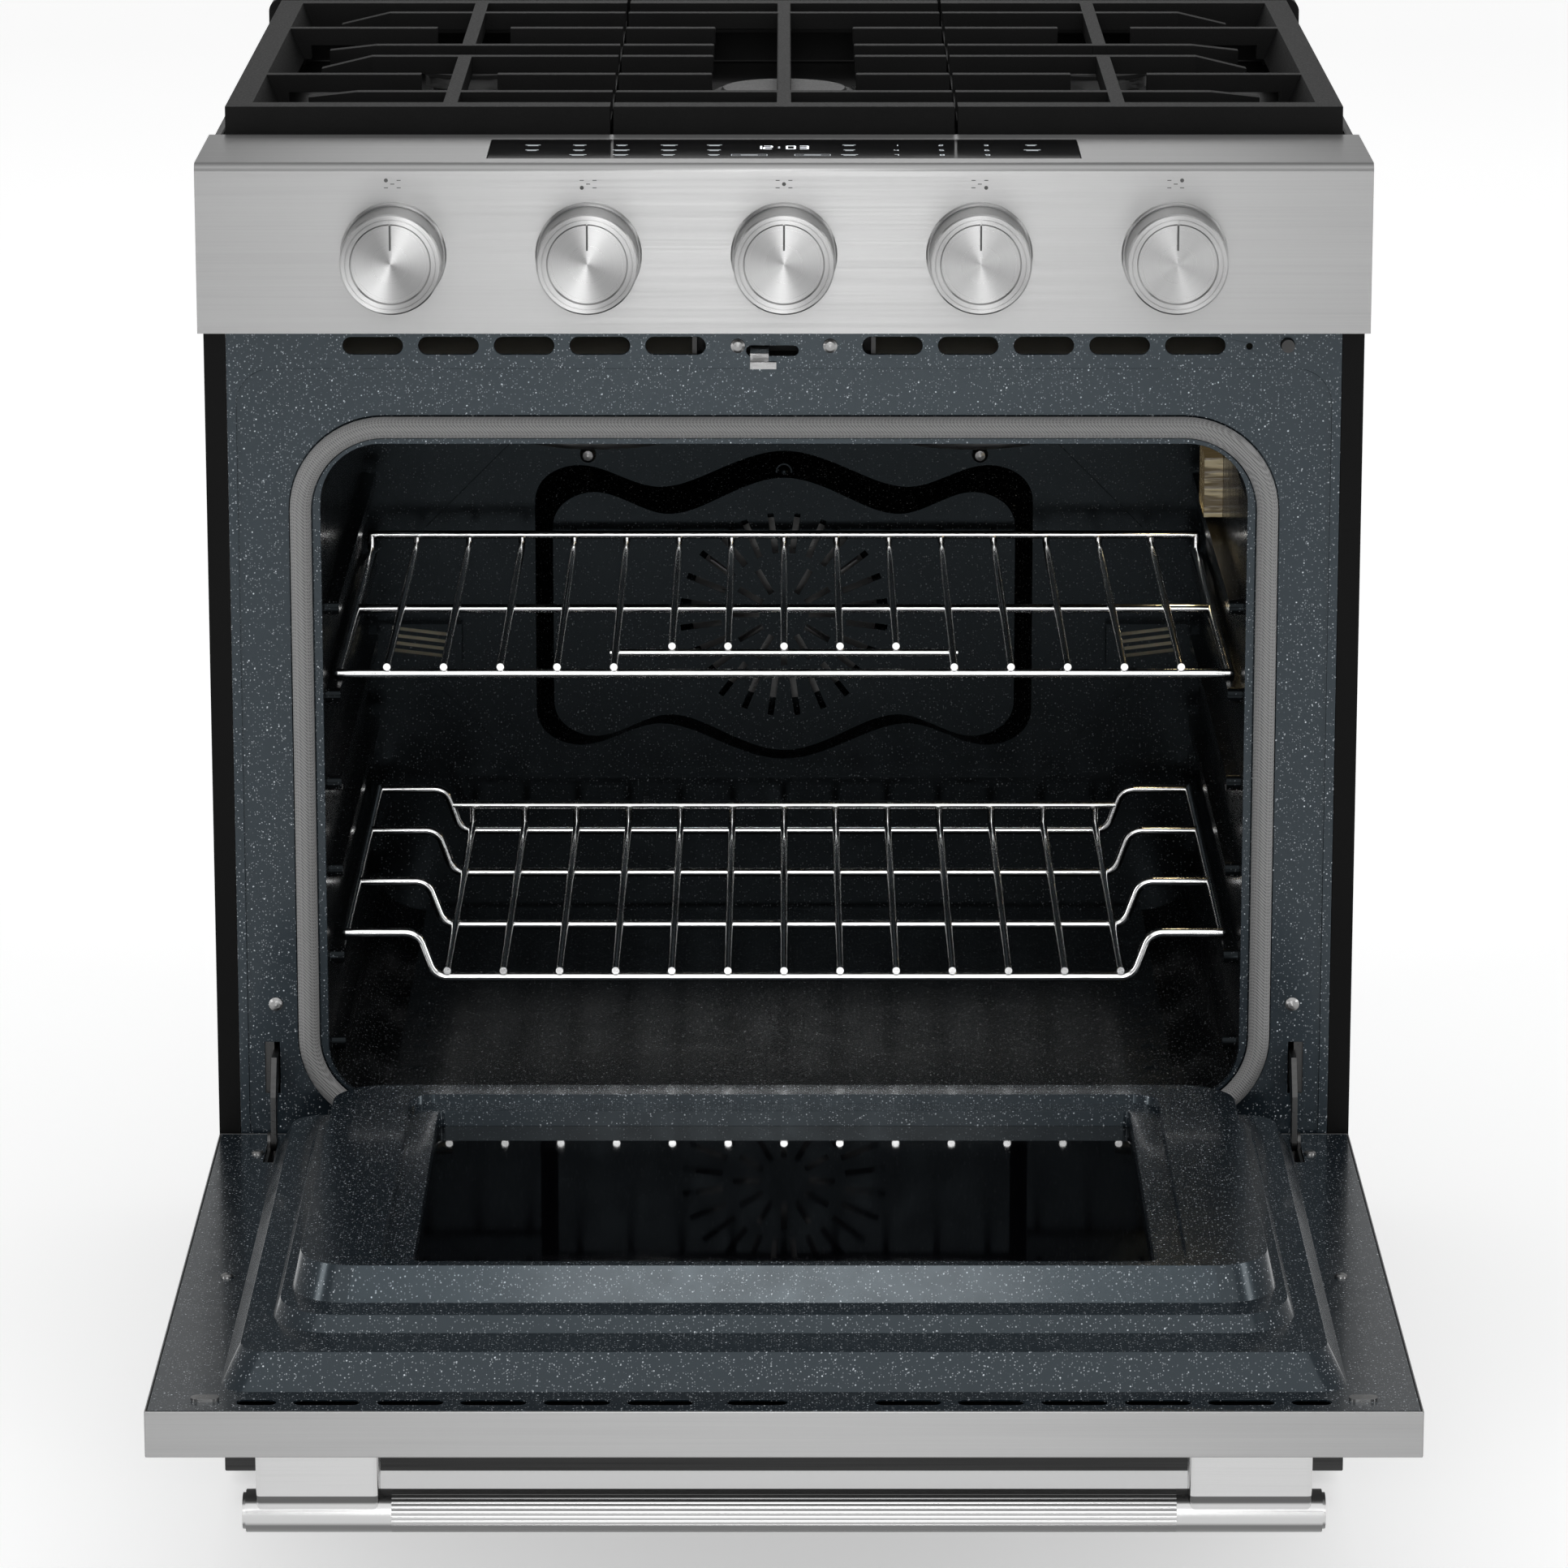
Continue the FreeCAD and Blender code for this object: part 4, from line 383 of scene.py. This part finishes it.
MATERIALS = {
    "stainless": brushed("stainless", 0.31, 0.34, contrast=0.06),
    # drawer_steel is the stainless made very dark: painted shade for the open door's shadow over the drawer
    # front.
    "drawer_steel": brushed("drawer_steel", 0.045, 0.36, contrast=0.3),
    "side_paint": painted("side_paint", 0.002, 0.45, 0.08),
    "zinc_sheet": zinc("zinc_sheet", 0.5, 0.42),
    "dark_plastic": moulded("dark_plastic", 0.025, 0.5),
    "door_enamel": speckled("door_enamel", 0.011, 0.8, 1.0, 0.22, 0.32, 0.2, 0.4),
    "oven_enamel": speckled("oven_enamel", 0.002, 0.28, 0.7, 0.22, 0.1, 0.0, 0.15),
    "screw_steel": plated("screw_steel", 0.3, 0.3),
    "mineral_wool": fibrous("mineral_wool", (0.55, 0.5, 0.35, 1.0), (0.85, 0.8, 0.62, 1.0)),
    "burner_steel": plated("burner_steel", 0.1, 0.38),
    "gasket_braid": braided("gasket_braid", 0.06, 0.26),
    "lamp_glass": glowing_glass("lamp_glass", (1.0, 0.72, 0.34, 1.0), 0.05),
    "rack_chrome": plated("rack_chrome", 0.85, 0.14),
    "cooktop_enamel": painted("cooktop_enamel", 0.002, 0.3, 0.12, peel=160.0),
    "burner_aluminium": plated("burner_aluminium", 0.3, 0.42),
    "cap_enamel": cast("cap_enamel", 0.02, 0.45, 0.25),
    "igniter_ceramic": moulded("igniter_ceramic", 0.75, 0.3),
    "cast_black": cast("cast_black", 0.006, 0.55, 0.1),
    "panel_glass": dark_glass("panel_glass", (0.002, 0.002, 0.0025, 1.0), 0.08, 0.3),
    "knob_metal": spun("knob_metal", 0.35, 0.3, KNOB_PITCH, KNOB_HEIGHT),
    "valve_brass": moulded("valve_brass", 0.4, 0.3),
    "pipe_aluminium": plated("pipe_aluminium", 0.55, 0.35),
    "hinge_steel": plated("hinge_steel", 0.08, 0.36),
    "window_glass": dark_glass("window_glass", (0.001, 0.001, 0.0015, 1.0), 0.02, 0.3),
    "dark_window_glass": dark_glass("dark_window_glass", (0.002, 0.002, 0.0025, 1.0), 0.03, 0.5),
    "handle_metal": barred("handle_metal", 0.52, 0.2, middle("door_handle_bar").z, BAR_RADIUS),
}
PALE_PRINT = printed("pale_print", (0.75, 0.8, 0.85, 1.0), 0.25)
CLOCK_PRINT = printed("clock_print", (0.92, 0.96, 1.0, 1.0), 1.2)
DARK_PRINT = printed("dark_print", (0.05, 0.05, 0.05, 1.0), 0.0)

# Nodes shown in another finish than their slot's.
SHADED = {"latch_bracket": "dark_plastic"}
for entry in frame["record"]["subparts"]:
    mesh = NODES[entry["node"]].data
    mesh.materials.clear()
    mesh.materials.append(MATERIALS[SHADED.get(entry["node"], entry["material_slot"])])

# Pressed and cast nodes get narrow rounded edges of these widths, in metres.
EDGE_WIDTHS = {
    "control_panel": 0.0009, "door_outer_panel": 0.0008, "front_frame": 0.0006, "door_inner_panel": 0.0028,
    "grate_left": 0.0012, "grate_center": 0.0012, "grate_right": 0.0012, "cooktop_pan": 0.0015,
    "drawer_front": 0.0008, "rear_vent_trim": 0.001, "control_glass": 0.0004, "oven_liner": 0.0005,
}
WELD_REACH = 0.00001
SHARP_EDGE = math.radians(32)
for name, width in EDGE_WIDTHS.items():
    joined = NODES[name].modifiers.new("joined", "WELD")
    joined.merge_threshold = WELD_REACH
    edges = NODES[name].modifiers.new("edges", "BEVEL")
    edges.width = width
    edges.segments = 2
    edges.limit_method = "ANGLE"
    edges.angle_limit = SHARP_EDGE


# ---------------------------------------------------------------- small parts made here
def piece(name, build, body, material):
    """Make a mesh piece with bmesh, give it its material and let it ride on a body."""
    mesh = bpy.data.meshes.new(name)
    work = bmesh.new()
    build(work)
    work.to_mesh(mesh)
    work.free()
    mesh.materials.append(material)
    item = bpy.data.objects.new(name, mesh)
    bpy.context.scene.collection.objects.link(item)
    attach(item, body)
    return item


def add_tile(work, centre, along, across, length, width, thick):
    """Add a thin tile: length runs along one direction, width across it, thickness out of both."""
    out = along.cross(across)
    corners = []
    for level in (0.0, thick):
        for first, second in ((-1, -1), (1, -1), (1, 1), (-1, 1)):
            corner = centre + along * (first * length / 2) + across * (second * width / 2) + out * level
            corners.append(work.verts.new(corner))
    work.faces.new(corners[3::-1])
    work.faces.new(corners[4:])
    for step in range(4):
        following = (step + 1) % 4
        work.faces.new((corners[step], corners[following], corners[following + 4], corners[step + 4]))


def add_disc(work, centre, along, across, radius, thick, count=16):
    """Add a thin round tile."""
    out = along.cross(across)
    rims = []
    for level in (0.0, thick):
        ring = []
        for step in range(count):
            angle = math.tau * step / count
            spoke = along * (radius * math.cos(angle)) + across * (radius * math.sin(angle))
            ring.append(work.verts.new(centre + spoke + out * level))
        rims.append(ring)
    work.faces.new(rims[0][::-1])
    work.faces.new(rims[1])
    for step in range(count):
        following = (step + 1) % count
        work.faces.new((rims[0][step], rims[0][following], rims[1][following], rims[1][step]))


# The strokes of each digit, then each stroke's place, in widths and half heights, and whether it lies flat.
SEGMENTS = {
    "0": "abcdef", "1": "bc", "2": "abged", "3": "abgcd", "4": "fgbc",
    "5": "afgcd", "6": "afgedc", "7": "abc", "8": "abcdefg", "9": "abcdfg",
}
SEGMENT_PLACES = {
    "a": (0.0, 1.0, True), "g": (0.0, 0.0, True), "d": (0.0, -1.0, True), "f": (-0.5, 0.5, False),
    "b": (0.5, 0.5, False), "e": (-0.5, -0.5, False), "c": (0.5, -0.5, False),
}


def add_digit(work, text, centre, along, across, width, height, stroke):
    """Add a digit from straight strokes."""
    for key in SEGMENTS[text]:
        side, level, flat = SEGMENT_PLACES[key]
        spot = centre + along * (side * width) + across * (level * height / 2)
        if flat:
            add_tile(work, spot, along, across, width, stroke, PRINT_DEPTH)
        else:
            add_tile(work, spot, along, across, stroke, height / 2, PRINT_DEPTH)


PRINT_DEPTH = 0.00005
PRINT_SINK = 0.00002
ROWS = (GLASS_LOW.y + 0.0145, GLASS_LOW.y + 0.0345, GLASS_LOW.y + 0.0555)
KEY_COLUMNS = (-0.164, -0.1335, -0.106, -0.075, -0.0455, 0.0425, 0.1615)
BARE_KEYS = ((0, 0), (6, 0))
KEY_STROKE = 0.0013
DIGIT_COLUMNS = (0.073, 0.1025, 0.132)
BOXED_KEYS = (-0.0225, 0.0185)
BOX_LENGTH, BOX_DEPTH, BOX_LINE = 0.023, 0.006, 0.0004


def glass_spot(x, y):
    """Return a spot on top of the control glass."""
    return Vector((x, y, GLASS_HIGH.z - PRINT_SINK))


def build_legends(work):
    """Add the short lines of the touch keys' names and the number keys."""
    for column, x in enumerate(KEY_COLUMNS):
        for row, y in enumerate(ROWS):
            if (column, row) in BARE_KEYS:
                continue
            length = 0.0075 + 0.0035 * ((column * 3 + row * 5) % 4) / 3
            add_tile(work, glass_spot(x, y + 0.0016), X_AXIS, Y_AXIS, length, KEY_STROKE, PRINT_DEPTH)
            add_tile(work, glass_spot(x, y - 0.0016), X_AXIS, Y_AXIS, length * 0.72, KEY_STROKE, PRINT_DEPTH)
    for row, y in enumerate(reversed(ROWS)):
        for column, x in enumerate(DIGIT_COLUMNS):
            digit = str(row * 3 + column + 1)
            add_digit(work, digit, glass_spot(x, y), X_AXIS, Y_AXIS, 0.0024, 0.0046, 0.0007)
    for x in BOXED_KEYS:
        for sign in (-1, 1):
            end = glass_spot(x + sign * BOX_LENGTH / 2, ROWS[0])
            add_tile(work, end, Y_AXIS, -X_AXIS, BOX_DEPTH, BOX_LINE, PRINT_DEPTH)
        for sign in (-1, 1):
            side = glass_spot(x, ROWS[0] + sign * BOX_DEPTH / 2)
            add_tile(work, side, X_AXIS, Y_AXIS, BOX_LENGTH, BOX_LINE, PRINT_DEPTH)
        add_tile(work, glass_spot(x, ROWS[0]), X_AXIS, Y_AXIS, 0.011, 0.0014, PRINT_DEPTH)


def build_clock(work):
    """Add the lit clock in the middle of the display."""
    centre = (ROWS[1] + ROWS[2]) / 2 + 0.0015
    for text, x in (("1", -0.0175), ("2", -0.0105), ("0", 0.0045), ("3", 0.013)):
        add_digit(work, text, glass_spot(x, centre), X_AXIS, Y_AXIS, 0.0052, 0.0125, KEY_STROKE)
    for offset in (-0.0022, 0.0022):
        dot = glass_spot(-0.0032, centre + offset)
        add_tile(work, dot, X_AXIS, Y_AXIS, KEY_STROKE, KEY_STROKE, PRINT_DEPTH)


# The knob that works each burner, by the burner's column and row in the plan above the knobs.
BURNER_KNOBS = {(-1, 1): 0, (-1, -1): 1, (0, 0): 2, (1, -1): 3, (1, 1): 4}
ICON_HEIGHT = KNOB_HEIGHT + 0.0461
ICON_COLUMN, ICON_ROW = 0.0041, 0.0024


def build_icons(work):
    """Add the burner plan above each knob: one filled dot among dashes."""
    for (side, level), owner in BURNER_KNOBS.items():
        for knob in range(KNOBS):
            x = (knob - KNOBS // 2) * KNOB_PITCH + side * ICON_COLUMN
            spot = Vector((x, PANEL_LOW.y - PRINT_SINK, ICON_HEIGHT + level * ICON_ROW))
            if owner == knob:
                add_disc(work, spot, X_AXIS, Z_AXIS, 0.0013, PRINT_DEPTH)
            else:
                add_tile(work, spot, X_AXIS, Z_AXIS, 0.0026, 0.00055, PRINT_DEPTH)


piece("key_legends", build_legends, "range_body", PALE_PRINT)
piece("clock_digits", build_clock, "range_body", CLOCK_PRINT)
piece("burner_icons", build_icons, "range_body", DARK_PRINT)


POINTER_RISE, POINTER_LENGTH, POINTER_WIDTH = 0.0172, 0.0162, 0.0012


def add_pointer(work, number):
    """Add the dark line from a knob's rim towards its middle."""
    knob = f"knob_{number}"
    face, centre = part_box(knob)[0].y, middle(knob)
    spot = Vector((centre.x, face - PRINT_SINK, centre.z + POINTER_RISE))
    add_tile(work, spot, Z_AXIS, -X_AXIS, POINTER_LENGTH, POINTER_WIDTH, PRINT_DEPTH)


for number in range(1, KNOBS + 1):
    piece(f"pointer_{number}", lambda work, number=number: add_pointer(work, number), f"dial_{number}",
          DARK_PRINT)


FLUTES = 24
STEPS_PER_FLUTE = 8
FLUTE_DEPTH = 0.0006


def build_fluted_bar(work):
    """Build the handle's middle bar with flutes along its length."""
    centre = middle("door_handle_bar")
    count = FLUTES * STEPS_PER_FLUTE
    rings = []
    for x in (BAR_LOW.x, BAR_HIGH.x):
        ring = []
        for step in range(count):
            angle = math.tau * step / count
            reach = BAR_RADIUS - FLUTE_DEPTH * (1 - abs(math.cos(FLUTES * angle / 2)) ** 0.8)
            y, z = centre.y + reach * math.cos(angle), centre.z + reach * math.sin(angle)
            ring.append(work.verts.new((x, y, z)))
        rings.append(ring)
    work.faces.new(rings[0])
    work.faces.new(rings[1][::-1])
    for step in range(count):
        following = (step + 1) % count
        work.faces.new((rings[0][step], rings[1][step], rings[1][following], rings[0][following]))


bar = piece("handle_bar_fluted", build_fluted_bar, "door", MATERIALS["handle_metal"])
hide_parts("door_handle_bar")


# ---------------------------------------------------------------- floor, light and camera
FLOOR_HALF = 30.0
CAMERA_SPOT = (0.0, -4.51, 1.604)
CAMERA_PITCH = math.radians(90 - 13.97)
CAMERA_LENS = 159.2


def build_floor():
    """Make the wide pale floor."""
    mesh = bpy.data.meshes.new("studio_floor")
    half = FLOOR_HALF
    corners = [(-half, -half, 0.0), (half, -half, 0.0), (half, half, 0.0), (-half, half, 0.0)]
    mesh.from_pydata(corners, [], [(0, 1, 2, 3)])
    shade = Shade("floor_white", Roughness=0.6, Specular_IOR_Level=0.2, Emission_Color=grey(1.0),
                  Emission_Strength=0.4)
    shade.put(Base_Color=shade.mix(shade.noise(1.5, 2.0), grey(0.84), grey(0.86)))
    mesh.materials.append(shade.material)
    floor = bpy.data.objects.new("studio_floor", mesh)
    bpy.context.scene.collection.objects.link(floor)


def add_softbox(name, spot, target, size, power, colour=(1.0, 1.0, 1.0)):
    """Add a rectangular light at a spot, aimed at a target."""
    light = bpy.data.lights.new(name, "AREA")
    light.shape = "RECTANGLE"
    light.size, light.size_y = size
    light.energy = power
    light.color = colour
    item = bpy.data.objects.new(name, light)
    item.location = spot
    item.rotation_euler = (Vector(target) - Vector(spot)).to_track_quat("-Z", "Y").to_euler()
    item.visible_camera = False
    bpy.context.scene.collection.objects.link(item)


def add_sun(name, turn, strength, spread):
    """Add an even light from far away, softened over a spread of degrees."""
    light = bpy.data.lights.new(name, "SUN")
    light.energy = strength
    light.angle = math.radians(spread)
    item = bpy.data.objects.new(name, light)
    item.rotation_euler = turn
    bpy.context.scene.collection.objects.link(item)


def build_world(level):
    """Light the scene evenly from all round."""
    world = bpy.data.worlds.new("studio_world")
    world.use_nodes = True
    world.node_tree.nodes["Background"].inputs["Color"].default_value = (1.0, 1.0, 1.0, 1.0)
    world.node_tree.nodes["Background"].inputs["Strength"].default_value = level
    bpy.context.scene.world = world


def build_camera():
    """Stand the camera in front of the range at eye height, looking down at it."""
    data = bpy.data.cameras.new("camera")
    data.lens = CAMERA_LENS
    data.sensor_width = 36.0
    camera = bpy.data.objects.new("camera", data)
    camera.location = CAMERA_SPOT
    camera.rotation_euler = (CAMERA_PITCH, 0.0, 0.0)
    bpy.context.scene.collection.objects.link(camera)
    bpy.context.scene.camera = camera


build_floor()
build_world(0.42)
add_sun("sky_front", (math.radians(40), 0.0, 0.0), 1.0, 70)
add_softbox("front_strip", (0.0, -6.0, 1.35), (0.0, 0.0, 0.7), (0.7, 2.6), 40.0)
add_softbox("left_strip", (-3.2, -1.6, 1.5), (0.0, -0.1, 0.6), (0.6, 2.6), 26.0)
add_softbox("right_strip", (3.2, -1.6, 1.5), (0.0, -0.1, 0.6), (0.6, 2.6), 26.0)
add_softbox("rear_top", (0.0, 5.5, 3.4), (0.0, 0.0, 0.9), (1.5, 1.8), 15.0)
glow_spot = (LAMP_LOW.x - 0.012, middle("oven_lamp").y, middle("oven_lamp").z)
add_softbox("oven_glow", glow_spot, (0.0, 0.25, 0.4), (0.03, 0.03), 0.05, (1.0, 0.78, 0.42))
bpy.context.scene.view_settings.view_transform = "Standard"
build_camera()
